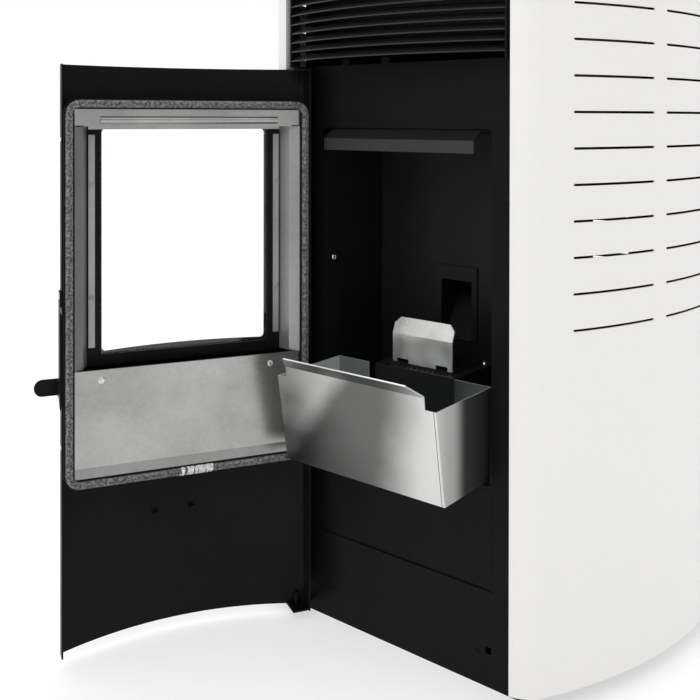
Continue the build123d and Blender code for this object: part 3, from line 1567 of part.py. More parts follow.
# hopper lid: shallow pressed lid let into the top cover
lid_middle_y = (lid_front_y + lid_back_y) / 2
with BuildPart() as hopper_lid:
    with BuildSketch(Plane.XY.offset(casing_top_z)):
        with Locations((0, lid_middle_y)):
            Rectangle(2 * lid_half_width, lid_length)
    extrude(amount=-lid_skirt)
    with BuildSketch(Plane.XY.offset(casing_top_z - lid_sheet)):
        with Locations((0, lid_middle_y)):
            Rectangle(2 * (lid_half_width - lid_sheet), lid_length - 2 * lid_sheet)
    extrude(amount=-lid_skirt, mode=Mode.SUBTRACT)
    with BuildSketch(sideways(-lid_half_width)):
        with Locations((lid_axis_y, lid_axis_z)):
            Circle(lid_pin_radius + shaft_gap)
    extrude(amount=2 * lid_half_width, mode=Mode.SUBTRACT)
    with BuildSketch(Plane.XY.offset(casing_top_z)):
        with Locations((0, lid_front_y + lid_skirt + lid_sheet)):
            SlotOverall(lid_half_width / 2, lid_skirt)
    extrude(amount=-lid_sheet, mode=Mode.SUBTRACT)
hopper_lid.part.label = "hopper_lid"
export_step(hopper_lid.part, "parts/hopper_lid.step")

# lid pins: two short pins from the cover's flanges into the lid
lid_pin_outer_x = lid_hole_half_width + lid_flange
with BuildPart() as lid_pins:
    for sign in (-1, 1):
        with BuildSketch(sideways(sign * lid_pin_outer_x)):
            with Locations((lid_axis_y, lid_axis_z)):
                Circle(lid_pin_radius)
        extrude(amount=-sign * lid_pin_length)
        with BuildSketch(sideways(sign * lid_pin_outer_x)):
            with Locations((lid_axis_y, lid_axis_z)):
                Circle(lid_pin_radius + lid_pin_head)
        extrude(amount=sign * lid_pin_head)
lid_pins.part.label = "lid_pins"
export_step(lid_pins.part, "parts/lid_pins.step")

# ======================================================================
# Door
# ======================================================================

door_height = door_top_z - door_bottom_z
window_height = window_top_z - window_bottom_z
window_middle_z = (window_top_z + window_bottom_z) / 2

# the bowed skin's outer line, seen from above on the shut door
hinge_fold_end = (-door_half_width, front_y - door_hinge_flange_gap)
free_fold_end = (door_half_width, front_y - door_free_flange_gap)
with BuildLine() as skin_line:
    hinge_fold = Line(hinge_fold_end, (-door_half_width, door_edge_y))
    bow = ThreePointArc(
        hinge_fold @ 1,
        (0, door_edge_y - door_bow),
        (door_half_width, door_edge_y),
    )
    Line(bow @ 1, free_fold_end)
    fillet(skin_line.vertices().sort_by(Axis.X)[0:2].sort_by(Axis.Y)[0], door_hinge_corner)
    fillet(skin_line.vertices().sort_by(Axis.X)[-2:].sort_by(Axis.Y)[0], door_free_corner)

# door skin: bowed sheet with folded edges, its window and two weld studs inside
with BuildPart() as door_skin:
    with BuildSketch(door_level(door_bottom_z)):
        with BuildLine():
            add(skin_line.line)
            offset(amount=door_sheet, side=Side.LEFT)
        make_face()
    extrude(amount=door_height)
    with BuildSketch(door_edge(door_half_width - door_sheet)):
        with Locations((front_y - lever_pivot_reach, lever_pivot_z)):
            Circle(lever_pin_radius + shaft_gap)
    extrude(amount=door_sheet, mode=Mode.SUBTRACT)
    for stud_x in stud_places:
        with BuildSketch(door_face(skin_inner_y(stud_x) - door_sheet / 2)):
            with Locations((stud_x, stud_z)):
                Circle(stud_radius)
        extrude(amount=-stud_length - door_sheet / 2)
    with BuildSketch(door_face(door_edge_y)):
        with Locations((0, window_middle_z)):
            RectangleRounded(2 * window_half_width, window_height, window_corner)
    extrude(amount=2 * door_bow, mode=Mode.SUBTRACT)
door_skin.part.label = "door_skin"
export_step(door_skin.part, "parts/door_skin.step")

# door frame: flat black plate with the gasket's channel round it
channel_bottom_z = rope_bottom_z - channel_sheet
channel_top_z = rope_top_z + channel_sheet
channel_middle_z = (channel_bottom_z + channel_top_z) / 2
channel_outer_height = channel_top_z - channel_bottom_z
rope_width = 2 * rope_radius
inner_rim_half_width = channel_inner_x
inner_rim_height = rope_top_z - rope_bottom_z - 2 * rope_width
channel_corner = rope_corner + rope_radius
reveal_middle_z = (reveal_bottom_z + reveal_top_z) / 2
reveal_height = reveal_top_z - reveal_bottom_z
with BuildPart() as door_frame:
    with BuildSketch(door_face(channel_face_y)):
        with Locations((0, channel_middle_z)):
            RectangleRounded(2 * channel_half_width, channel_outer_height, channel_corner)
        with Locations((0, reveal_middle_z)):
            Rectangle(2 * lining_half_width, reveal_height, mode=Mode.SUBTRACT)
    extrude(amount=inner_sheet)
    with BuildSketch(door_face(channel_face_y)):
        with Locations((0, channel_middle_z)):
            RectangleRounded(2 * channel_half_width, channel_outer_height, channel_corner)
            RectangleRounded(
                2 * (channel_half_width - channel_sheet),
                channel_outer_height - 2 * channel_sheet,
                channel_corner - channel_sheet,
                mode=Mode.SUBTRACT,
            )
    extrude(amount=-channel_height)
    with BuildSketch(door_face(channel_face_y)):
        with Locations((0, channel_middle_z)):
            RectangleRounded(
                2 * inner_rim_half_width,
                inner_rim_height,
                rope_corner - rope_radius,
            )
            Rectangle(
                2 * (inner_rim_half_width - channel_sheet),
                inner_rim_height - 2 * channel_sheet,
                mode=Mode.SUBTRACT,
            )
    extrude(amount=-channel_height)
door_frame.part.label = "door_frame"
export_step(door_frame.part, "parts/door_frame.step")

# rope gasket: plain round ring in the channel, butted at one joint
rope_low_z = rope_bottom_z + rope_radius
rope_high_z = rope_top_z - rope_radius
with BuildPart() as rope_gasket:
    with BuildLine(door_face(rope_middle_y)) as rope_line:
        FilletPolyline(
            (rope_joint_x + move_gap, rope_low_z),
            (rope_middle_x, rope_low_z),
            (rope_middle_x, rope_high_z),
            (-rope_middle_x, rope_high_z),
            (-rope_middle_x, rope_low_z),
            (rope_joint_x - move_gap, rope_low_z),
            radius=rope_corner,
        )
    with BuildSketch(Plane(origin=rope_line.line @ 0, z_dir=rope_line.line % 0)):
        Circle(rope_radius)
    sweep()
rope_gasket.part.label = "rope_gasket"
export_step(rope_gasket.part, "parts/rope_gasket.step")

# door glass: flat pane behind the skin's window
glass_bottom_z = window_bottom_z - glass_lap
glass_top_z = window_top_z + glass_lap
with BuildPart() as door_glass:
    with BuildSketch(door_face(glass_back_y)):
        with Locations((0, (glass_bottom_z + glass_top_z) / 2)):
            Rectangle(2 * glass_half_width, glass_top_z - glass_bottom_z)
    extrude(amount=glass_sheet)
door_glass.part.label = "door_glass"
export_step(door_glass.part, "parts/door_glass.step")

# glass frame: flat black ring that presses the pane forward
glass_frame_bottom_z = window_bottom_z - glass_frame_lap
glass_frame_top_z = reveal_top_z
with BuildPart() as glass_frame:
    with BuildSketch(door_face(glass_frame_back_y)):
        with Locations((0, (glass_frame_bottom_z + glass_frame_top_z) / 2)):
            Rectangle(
                2 * glass_frame_half_width,
                glass_frame_top_z - glass_frame_bottom_z,
            )
        with Locations((0, window_middle_z)):
            Rectangle(
                2 * (window_half_width + glass_frame_inner_gap),
                window_height + 2 * glass_frame_inner_gap,
                mode=Mode.SUBTRACT,
            )
    extrude(amount=glass_frame_sheet)
glass_frame.part.label = "glass_frame"
export_step(glass_frame.part, "parts/glass_frame.step")

# reveal strips: galvanised strip bent into the recess down each side of the window
reveal_fold_y = channel_face_y - reveal_drop
reveal_foot_x = reveal_half_width - reveal_lean
strip_outline = [
    (lining_half_width, channel_face_y + strip_sheet),
    (reveal_half_width, reveal_fold_y + strip_sheet),
    (reveal_foot_x, glass_frame_back_y),
    (reveal_foot_x + strip_sheet, glass_frame_back_y),
    (reveal_half_width + strip_sheet, reveal_fold_y),
    (lining_half_width, channel_face_y),
]
with BuildPart() as reveal_strips:
    for sign in (-1, 1):
        with BuildSketch(door_level(reveal_bottom_z)):
            with BuildLine():
                Polyline([(sign * x, y) for x, y in strip_outline], close=True)
            make_face()
        extrude(amount=reveal_height - strip_sheet)
reveal_strips.part.label = "reveal_strips"
export_step(reveal_strips.part, "parts/reveal_strips.step")

# air-wash plate: flat top plate with a rolled bead and a lip turned down behind the glass
air_lip_y = glass_frame_back_y + 3 * strip_sheet
air_lip_half_width = reveal_foot_x - strip_sheet - move_gap
air_bead_y = channel_face_y + strip_sheet
air_bead_z = reveal_top_z + air_bead_gap
with BuildPart() as air_wash_plate:
    with BuildSketch(door_edge(-reveal_half_width)):
        with BuildLine():
            Polyline(
                (channel_face_y, air_plate_top_z - channel_sheet),
                (channel_face_y + strip_sheet, air_plate_top_z - channel_sheet),
                (channel_face_y + strip_sheet, reveal_top_z - strip_sheet),
                (air_lip_y - strip_sheet, reveal_top_z - strip_sheet),
                (air_lip_y - strip_sheet, reveal_top_z),
                (channel_face_y, reveal_top_z),
                close=True,
            )
        make_face()
    extrude(amount=2 * reveal_half_width)
    with BuildSketch(door_edge(-air_lip_half_width)):
        with Locations((air_lip_y - strip_sheet / 2, reveal_top_z - air_lip_drop / 2)):
            Rectangle(strip_sheet, air_lip_drop)
    extrude(amount=2 * air_lip_half_width)
    with BuildSketch(door_face(channel_face_y)):
        with Locations((0, (air_plate_top_z - channel_sheet + reveal_top_z) / 2)):
            Rectangle(
                2 * lining_half_width,
                air_plate_top_z - channel_sheet - reveal_top_z,
            )
    extrude(amount=-strip_sheet)
    with BuildSketch(door_edge(-glass_half_width)):
        with BuildLine():
            bead = ThreePointArc(
                (air_bead_y, air_bead_z + air_bead_height),
                (air_bead_y + air_bead_rise, air_bead_z + air_bead_height / 2),
                (air_bead_y, air_bead_z),
            )
            Line(bead @ 1, bead @ 0)
        make_face()
    extrude(amount=2 * glass_half_width)
air_wash_plate.part.label = "air_wash_plate"
export_step(air_wash_plate.part, "parts/air_wash_plate.step")

# lower panel: galvanised plate under the window, bent along its foot
with BuildPart() as lower_panel:
    with BuildSketch(door_edge(move_gap - lining_half_width)):
        with BuildLine():
            Polyline(
                (channel_face_y, reveal_bottom_z),
                (channel_face_y + strip_sheet, reveal_bottom_z),
                (channel_face_y + strip_sheet, lower_panel_bend_z),
                (channel_face_y + 3 * strip_sheet, lower_panel_bottom_z),
                (channel_face_y + 2 * strip_sheet, lower_panel_bottom_z),
                (channel_face_y, lower_panel_bend_z),
                close=True,
            )
        make_face()
    extrude(amount=2 * (lining_half_width - move_gap))
lower_panel.part.label = "lower_panel"
export_step(lower_panel.part, "parts/lower_panel.step")

# glass clamps: two upright bars on the glass frame
with BuildPart() as glass_clamps:
    for sign in (-1, 1):
        with BuildSketch(door_face(glass_frame_back_y)):
            with Locations((sign * clamp_x, window_middle_z)):
                Rectangle(clamp_width, window_height - 2 * glass_lap)
        extrude(amount=-clamp_sheet)
glass_clamps.part.label = "glass_clamps"
export_step(glass_clamps.part, "parts/glass_clamps.step")

# door screws: pan heads on the lower panel and on the clamps
with BuildPart() as door_screws:
    with BuildSketch(door_face(channel_face_y + strip_sheet)):
        with Locations((door_screw_shift, door_screw_z)):
            with GridLocations(2 * door_screw_x, 0, 2, 1):
                Circle(screw_head_radius)
    extrude(amount=-screw_head_height)
    with BuildSketch(door_face(glass_frame_back_y + clamp_sheet)):
        with Locations((0, window_middle_z)):
            with GridLocations(2 * clamp_x, window_height / 2, 2, 2):
                Circle(screw_head_radius - 1)
    extrude(amount=-screw_head_height)
door_screws.part.label = "door_screws"
export_step(door_screws.part, "parts/door_screws.step")

# door hinge plates: one under the skin's top rim and one above its bottom rim
plate_left_x = door_sheet - door_half_width
with BuildPart() as door_hinge_plates:
    for plate_z in (door_bottom_z, door_top_z - hinge_plate):
        with BuildSketch(door_level(plate_z)):
            with BuildLine():
                add(skin_line.line)
                Line(free_fold_end, hinge_fold_end)
            make_face()
            offset(amount=-door_sheet)
            with Locations((plate_left_x, hinge_y)):
                Rectangle(2 * hinge_plate_width, 2 * hinge_plate_width, mode=Mode.INTERSECT)
            with Locations((hinge_x, hinge_y)):
                Circle(hinge_pin_radius + shaft_gap, mode=Mode.SUBTRACT)
        extrude(amount=hinge_plate)
door_hinge_plates.part.label = "door_hinge_plates"
export_step(door_hinge_plates.part, "parts/door_hinge_plates.step")

# hinge brackets: a tab below and a tab above the door, each with its welded pin
bracket_half_width = hinge_pin_radius + hinge_plate
bracket_levels = (
    (door_bottom_z - move_gap - hinge_plate, 1),
    (door_top_z + move_gap + hinge_plate, -1),
)
with BuildPart() as hinge_brackets:
    for start_z, way in bracket_levels:
        with BuildSketch(Plane.XY.offset(start_z)):
            with Locations((hinge_x, (hinge_y + front_y) / 2)):
                Rectangle(2 * bracket_half_width, front_y - hinge_y)
            with Locations((hinge_x, hinge_y)):
                Circle(bracket_half_width)
        extrude(amount=way * hinge_plate)
        with BuildSketch(Plane.XY.offset(start_z)):
            with Locations((hinge_x, hinge_y)):
                Circle(hinge_pin_radius)
        extrude(amount=way * hinge_pin_length)
hinge_brackets.part.label = "hinge_brackets"
export_step(hinge_brackets.part, "parts/hinge_brackets.step")

# ---- latch lever on the door's free edge
pivot_y = front_y - lever_pivot_reach
lever_front_y = front_y - lever_front_reach
lever_back_y = front_y - lever_back_reach
hook_end_y = front_y + hook_end_gap
tab_back_y = front_y - tab_reach
with BuildPart() as latch_lever:
    with BuildSketch(door_edge(lever_x)):
        with BuildLine():
            Polyline(
                (lever_front_y, lever_pivot_z),
                (lever_front_y, tab_middle_z + tab_half_height),
                (tab_back_y, tab_middle_z + tab_half_height),
                (tab_back_y, tab_middle_z - tab_half_height),
                (lever_front_y, tab_middle_z - tab_half_height),
                (lever_back_y, lever_bottom_z),
                (lever_back_y, hook_bottom_z),
                (hook_end_y, hook_bottom_z),
                (hook_end_y, hook_top_z + hook_tip_rise),
                (hook_end_y - hook_tip, hook_top_z + hook_tip_rise),
                (hook_end_y - hook_tip, hook_top_z),
                (lever_back_y, hook_top_z),
                (lever_back_y, lever_pivot_z),
                close=True,
            )
        make_face()
        with Locations((pivot_y, lever_pivot_z)):
            Circle((lever_front_reach - lever_back_reach) / 2)
            Circle(lever_pin_radius + shaft_gap, mode=Mode.SUBTRACT)
    extrude(amount=lever_sheet)
    with BuildSketch(door_face(tab_back_y)):
        with BuildLine():
            tab_base = Line(
                (lever_x, tab_middle_z - tab_half_height),
                (lever_x + tab_length - tab_half_height, tab_middle_z - tab_half_height),
            )
            tab_end = ThreePointArc(
                tab_base @ 1,
                (lever_x + tab_length, tab_middle_z),
                (lever_x + tab_length - tab_half_height, tab_middle_z + tab_half_height),
            )
            Polyline(
                tab_end @ 1,
                (lever_x, tab_middle_z + tab_half_height),
                tab_base @ 0,
            )
        make_face()
    extrude(amount=tab_sheet)
latch_lever.part.label = "latch_lever"
export_step(latch_lever.part, "parts/latch_lever.step")

# latch pin: headed pivot through the door's edge
with BuildPart() as latch_pin:
    with BuildSketch(door_edge(lever_x + lever_sheet + shaft_gap)):
        with Locations((pivot_y, lever_pivot_z)):
            Circle(lever_pin_radius)
    extrude(amount=-lever_sheet - move_gap - door_sheet - 4 * lever_pin_radius)
latch_pin.part.label = "latch_pin"
export_step(latch_pin.part, "parts/latch_pin.step")

# latch keeper: thick plate behind the front frame with the edge the hook catches
keeper_height = latch_slot_top_z - latch_slot_bottom_z + 2 * keeper_margin
with BuildPart() as latch_keeper:
    with BuildSketch(upright(frame_back_y)):
        with Locations((latch_slot_x - keeper_width / 4, latch_slot_middle_z)):
            Rectangle(keeper_width, keeper_height)
        with Locations((latch_slot_x, (keeper_edge_z + keeper_foot_z) / 2)):
            Rectangle(
                2 * latch_slot_half_width,
                keeper_edge_z - keeper_foot_z,
                mode=Mode.SUBTRACT,
            )
    extrude(amount=-keeper_sheet)
latch_keeper.part.label = "latch_keeper"
export_step(latch_keeper.part, "parts/latch_keeper.step")

# ======================================================================
# Screws of the casing and the firebox
# ======================================================================

deck_screw_x = (pot_half_width + housing_half_width) / 2 + pot_sheet
deck_screw_y = front_y + rim_back_gap - 2 * screw_head_radius
with BuildPart() as fixing_screws:
    with BuildSketch(upright(front_y)):
        with Locations((0, casing_screw_z)):
            with GridLocations(2 * casing_screw_x, 0, 2, 1):
                Circle(casing_screw_radius)
    extrude(amount=casing_screw_height)
    for sign in (-1, 1):
        with BuildSketch(sideways(sign * mouth_half_width)):
            with Locations((front_y + wall_screw_gap, wall_screw_z)):
                Circle(screw_head_radius)
        extrude(amount=-sign * screw_head_height)
    with BuildSketch(Plane.XY.offset(housing_top_z)):
        with Locations((deck_screw_x, deck_screw_y)):
            Circle(screw_head_radius)
    extrude(amount=2 * screw_head_height)
fixing_screws.part.label = "fixing_screws"
export_step(fixing_screws.part, "parts/fixing_screws.step")
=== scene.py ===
from math import cos, pi, radians, sin

import bmesh
import bpy
from mathutils import Matrix, Vector


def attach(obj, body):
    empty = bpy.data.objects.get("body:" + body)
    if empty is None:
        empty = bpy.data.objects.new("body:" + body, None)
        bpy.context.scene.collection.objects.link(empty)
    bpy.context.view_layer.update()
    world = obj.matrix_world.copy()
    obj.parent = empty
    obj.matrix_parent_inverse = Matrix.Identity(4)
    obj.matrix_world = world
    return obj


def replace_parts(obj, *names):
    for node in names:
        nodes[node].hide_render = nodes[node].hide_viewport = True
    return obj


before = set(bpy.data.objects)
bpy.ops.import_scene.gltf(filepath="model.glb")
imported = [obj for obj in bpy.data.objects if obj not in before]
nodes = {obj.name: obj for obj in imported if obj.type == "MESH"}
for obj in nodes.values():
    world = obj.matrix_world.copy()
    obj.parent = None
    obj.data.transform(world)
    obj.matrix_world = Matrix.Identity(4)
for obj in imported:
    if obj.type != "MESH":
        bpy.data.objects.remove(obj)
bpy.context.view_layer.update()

MM = 0.001

# ---- sizes and places shared with the solids, in mm; the door's are measured shut
FRONT_Y = -227.0
MOVE_GAP = 0.3
HINGE = (-152.0, -254.0)
DOOR_ANGLE = radians(-118.5)
DOOR_HALF_WIDTH = 164.0
DOOR_EDGE_REACH = 28.0
DOOR_BOW = 32.6
DOOR_SHEET = 2.0
WINDOW_BOTTOM_Z = 382.5
WINDOW_TOP_Z = 668.0
GLASS_HALF_WIDTH = 117.0
GLASS_SHEET = 4.0
GLASS_FRAME_SHEET = 2.0
CLAMP_SHEET = 2.0
CLAMP_X = 124.0
STRIP_SHEET = 1.2
ROPE_GAP = 0.4
ROPE_RADIUS = 5.0
ROPE_MID_Y = FRONT_Y - ROPE_GAP - ROPE_RADIUS
ROPE_HALF_X = 155.5
ROPE_LOW_Z = 229.0
ROPE_HIGH_Z = 699.0
ROPE_CORNER = 13.0
CHANNEL_FACE_Y = ROPE_MID_Y - ROPE_RADIUS
DOOR_SCREW_X = 111.8
DOOR_SCREW_SHIFT = 4.0
DOOR_SCREW_Z = 355.0
EDGE_RIVET_REACH = 19.0
EDGE_RIVET_Z = (655.0, 274.0)
SKIRT_SCREW = (110.0, FRONT_Y, 38.0)
WALL_SCREW = (128.6, FRONT_Y + 26.5, 488.0)
DECK_SCREW = (54.25, FRONT_Y + 121.0, 351.0)
# the latch pin on the stored, open door
LATCH_PIVOT = Vector((-297.108, -535.925, 462.0))
LATCH_AXIS = Vector((-0.477159, -0.878817, 0.0))

# ---- heads as (radius, height), in mm
DOOR_HEAD = (4.5, 1.6)
CLAMP_HEAD = (3.5, 1.6)
RIVET_HEAD = (2.6, 1.3)
PIN_HEAD = (4.6, 0.9)
SKIRT_HEAD = (3.0, 1.5)
WALL_HEAD = (4.5, 2.0)
DECK_HEAD = (4.5, 4.0)
SMALL_HEAD_RADIUS = 4.0


def door_matrix():
    """Turns shut-door coordinates (mm) into the stored open door (metres)."""
    hinge = Vector((HINGE[0], HINGE[1], 0))
    turn = Matrix.Rotation(DOOR_ANGLE, 4, "Z")
    return Matrix.Scale(MM, 4) @ (Matrix.Translation(hinge) @ turn @ Matrix.Translation(-hinge))


DOOR = door_matrix()
PLAIN = Matrix.Scale(MM, 4)


# ======================================================================
# Shader helpers
# ======================================================================

def tree_of(name):
    """A new material with its node tree and shader."""
    mat = bpy.data.materials.new(name)
    mat.use_nodes = True
    nt = mat.node_tree
    return mat, nt, nt.nodes["Principled BSDF"]


def noise(nt, scale, detail=4.0, stretch=(1, 1, 1), rough=0.55):
    """Noise fixed to the piece; a small stretch value draws its grain out along that axis."""
    coord = nt.nodes.new("ShaderNodeTexCoord")
    mapping = nt.nodes.new("ShaderNodeMapping")
    mapping.inputs["Scale"].default_value = stretch
    tex = nt.nodes.new("ShaderNodeTexNoise")
    tex.inputs["Scale"].default_value = scale
    tex.inputs["Detail"].default_value = detail
    tex.inputs["Roughness"].default_value = rough
    nt.links.new(coord.outputs["Object"], mapping.inputs["Vector"])
    nt.links.new(mapping.outputs["Vector"], tex.inputs["Vector"])
    return tex.outputs["Fac"]


def map_range(nt, value, start, end, low, high, kind):
    """Turns a value's range from start to end into low to high."""
    node = nt.nodes.new("ShaderNodeMapRange")
    node.interpolation_type = kind
    for key, number in (("From Min", start), ("From Max", end), ("To Min", low), ("To Max", high)):
        node.inputs[key].default_value = number
    nt.links.new(value, node.inputs["Value"])
    return node.outputs["Result"]


def spread(nt, value, low, high):
    """Turns the middle of a noise's range into low to high."""
    return map_range(nt, value, 0.3, 0.7, low, high, "LINEAR")


def smooth_step(nt, value, start, end, low=0.0, high=1.0):
    """Rises smoothly from low to high between start and end."""
    return map_range(nt, value, start, end, low, high, "SMOOTHSTEP")


def two_tone(nt, value, dark, light, start=0.3, end=0.7):
    """Blends two colours by a value: dark below start, light above end."""
    ramp = nt.nodes.new("ShaderNodeValToRGB")
    ramp.color_ramp.elements[0].position = start
    ramp.color_ramp.elements[0].color = (*dark, 1)
    ramp.color_ramp.elements[1].position = end
    ramp.color_ramp.elements[1].color = (*light, 1)
    nt.links.new(value, ramp.inputs["Fac"])
    return ramp.outputs["Color"]


def maths(nt, kind, a, b=0.0):
    """A sum of two values, each a number or another node's output."""
    node = nt.nodes.new("ShaderNodeMath")
    node.operation = kind
    for slot, value in zip(node.inputs, (a, b)):
        if isinstance(value, float):
            slot.default_value = value
        else:
            nt.links.new(value, slot)
    return node.outputs[0]


def along(nt, position, direction):
    """How far a position lies along a direction."""
    node = nt.nodes.new("ShaderNodeVectorMath")
    node.operation = "DOT_PRODUCT"
    node.inputs[1].default_value = direction
    nt.links.new(position, node.inputs[0])
    return node.outputs["Value"]


def bumps(nt, shader, layers):
    """Bump layers as (height, strength, distance in metres)."""
    last = None
    for height, strength, distance in layers:
        node = nt.nodes.new("ShaderNodeBump")
        node.inputs["Strength"].default_value = strength
        node.inputs["Distance"].default_value = distance
        nt.links.new(height, node.inputs["Height"])
        if last:
            nt.links.new(last, node.inputs["Normal"])
        last = node.outputs["Normal"]
    nt.links.new(last, shader.inputs["Normal"])


# ======================================================================
# Finishes
# ======================================================================

def painted(name, color, rough, grain=900.0, grain_depth=0.00004, tone=0.06, spec=0.5):
    """Powder-coated or painted sheet: fine orange peel, faint uneven tone and gloss."""
    mat, nt, shader = tree_of(name)
    low = tuple(c * (1 - tone) for c in color)
    high = tuple(min(1.0, c * (1 + tone)) for c in color)
    nt.links.new(two_tone(nt, noise(nt, 7.0, 5.0), low, high), shader.inputs["Base Color"])
    gloss = spread(nt, noise(nt, 23.0, 6.0), rough - 0.05, rough + 0.06)
    nt.links.new(gloss, shader.inputs["Roughness"])
    bumps(nt, shader, [
        (noise(nt, grain, 2.0), 0.35, grain_depth),
        (noise(nt, 60.0, 2.0), 0.12, 0.0001),
    ])
    shader.inputs["Specular IOR Level"].default_value = spec
    return mat


def metal(name, dark, light, rough, cloud, brush=(1, 1, 1), brush_scale=260.0, spangle=0.0,
          swing=0.1, depth=0.00003, wave=0.0, detail=3.0, start=0.3, end=0.7, metallic=1.0):
    """Bare sheet: cloudy tone and gloss, fine rolling lines, faint crystals where galvanised."""
    mat, nt, shader = tree_of(name)
    shader.inputs["Metallic"].default_value = metallic
    tone = noise(nt, cloud, detail, rough=0.5)
    if spangle:
        coord = nt.nodes.new("ShaderNodeTexCoord")
        cells = nt.nodes.new("ShaderNodeTexVoronoi")
        cells.inputs["Scale"].default_value = 210.0
        nt.links.new(coord.outputs["Object"], cells.inputs["Vector"])
        grey = nt.nodes.new("ShaderNodeRGBToBW")
        nt.links.new(cells.outputs["Color"], grey.inputs["Color"])
        mix = nt.nodes.new("ShaderNodeMix")
        mix.inputs["Factor"].default_value = spangle
        nt.links.new(tone, mix.inputs[2])
        nt.links.new(grey.outputs["Val"], mix.inputs[3])
        tone = mix.outputs[0]
    nt.links.new(two_tone(nt, tone, dark, light, start, end), shader.inputs["Base Color"])
    gloss = noise(nt, cloud * 2.3, 6.0, brush, 0.6)
    nt.links.new(spread(nt, gloss, rough - swing, rough + swing), shader.inputs["Roughness"])
    layers = [(noise(nt, brush_scale, 3.0, brush), 0.25, depth)]
    if wave:
        layers.append((noise(nt, 7.0, 0.5, rough=0.4), 0.6, wave))
    bumps(nt, shader, layers)
    return mat


def pan_metal_painted_reflections():
    """Bare sheet of the ash drawer: painted reflections in broad clouds on its front, painted
    highlights on its right flank and top rim, duller inside.
    """
    mat, nt, shader = tree_of("pan_metal_painted_reflections")
    coord = nt.nodes.new("ShaderNodeTexCoord")
    warp = nt.nodes.new("ShaderNodeTexNoise")
    warp.inputs["Scale"].default_value = 14.0
    warp.inputs["Detail"].default_value = 3.0
    nt.links.new(coord.outputs["Object"], warp.inputs["Vector"])
    # places on the stored drawer, in metres
    across = 4.27  # one over the drawer's width
    inner_x, flank_x, rim_z, flank_change_y = 0.1165, 0.1167, 0.3827, 0.281
    dark_line_start_x, dark_line_end_x = 0.1131, 0.1141

    def add(a, b):
        return maths(nt, "ADD", a, b)

    def less(a, b):
        return maths(nt, "SUBTRACT", a, b)

    def times(a, b):
        return maths(nt, "MULTIPLY", a, b)

    def most(a, b):
        return maths(nt, "MAXIMUM", a, b)

    def cloud(direction, start, end, low, high, ripple):
        """A broad step of painted reflection along a direction, its edge made wavy."""
        wave = times(less(warp.outputs["Fac"], 0.5), ripple)
        value = add(along(nt, coord.outputs["Object"], direction), wave)
        return smooth_step(nt, value, start, end, low, high)

    def edge(direction, place, half, output="Object"):
        """A step from 0 to 1 within half a width either side of a place."""
        value = along(nt, coord.outputs[output], direction)
        return smooth_step(nt, value, place - half, place + half)

    # the front's painted reflections: bright upper left corner and right end, dimmest at the lower
    # left
    left = cloud((across, 0.0, -3.51), -1.27, -1.45, 0.0, 0.38, 0.10)
    right = cloud((across, 0.0, -0.84), -0.14, 0.22, 0.0, 0.56, 0.14)
    low_corner = cloud((across, 0.0, 2.8), 0.35, 0.95, 0.065, 0.145, 0.2)
    # painted highlights on the right flank, brighter in its forward part, and on the top rim; a
    # thin dark line beside the bent corner
    sideways = (1.0, 0.0, 0.0)
    flank = edge(sideways, flank_x, 0.00015)
    forward_flank = times(flank, edge((0.0, -1.0, 0.0), flank_change_y, 0.015))
    rim = edge((0.0, 0.0, 1.0), rim_z, 0.0003)
    dark_corner_line = less(edge(sideways, dark_line_start_x, 0.0002), edge(sideways, dark_line_end_x, 0.0002))
    # the inside: between the flanks, on faces that don't look forward
    parts = nt.nodes.new("ShaderNodeSeparateXYZ")
    nt.links.new(coord.outputs["Object"], parts.inputs[0])
    within = maths(nt, "LESS_THAN", maths(nt, "ABSOLUTE", parts.outputs["X"]), inner_x)
    inside = times(within, edge((0.0, 1.0, 0.0), -0.5, 0.1, "Normal"))

    # the front's colour is its painted reflections, cut off on the flank; the flank and rim take
    # painted highlights
    front = times(add(add(left, right), low_corner), less(1.0, most(flank, times(dark_corner_line, 0.7))))
    tone = most(most(front, add(times(flank, 0.10), times(forward_flank, 0.76))), rim)
    sheet = two_tone(nt, tone, (0.0, 0.0, 0.0), (1.0, 1.0, 0.985), 0.0, 1.0)
    dull = two_tone(nt, noise(nt, 12.0, 4.0), (0.64, 0.70, 0.69), (0.78, 0.83, 0.82))
    mix = nt.nodes.new("ShaderNodeMix")
    mix.data_type = "RGBA"
    nt.links.new(inside, mix.inputs[0])
    nt.links.new(sheet, mix.inputs[6])
    nt.links.new(dull, mix.inputs[7])
    nt.links.new(mix.outputs[2], shader.inputs["Base Color"])
    # less metallic on the flank and rim, so that their painted highlights show as bright paint,
    # and on the duller inside
    bare = less(1.0, add(times(most(flank, rim), 0.5), times(inside, 0.78)))
    nt.links.new(bare, shader.inputs["Metallic"])
    gloss = spread(nt, noise(nt, 30.0, 5.0, (0.1, 0.1, 1)), 0.18, 0.28)
    nt.links.new(gloss, shader.inputs["Roughness"])
    bumps(nt, shader, [
        (noise(nt, 420.0, 3.0, (0.08, 0.08, 1)), 0.2, 0.00003),
        (noise(nt, 8.0, 0.5), 0.4, 0.0008),
    ])
    return mat


def thread(name, dark, light, rough=0.42):
    """Glass-fibre strand: short bright and dark dashes along it."""
    mat, nt, shader = tree_of(name)
    dash = noise(nt, 330.0, 2.0)
    tone = two_tone(nt, dash, (dark,) * 3, (light, light, light * 0.97), 0.36, 0.66)
    nt.links.new(tone, shader.inputs["Base Color"])
    gloss = spread(nt, noise(nt, 90.0, 3.0), rough - 0.06, rough + 0.1)
    nt.links.new(gloss, shader.inputs["Roughness"])
    bumps(nt, shader, [(noise(nt, 2600.0, 2.0), 0.4, 0.0003)])
    return mat


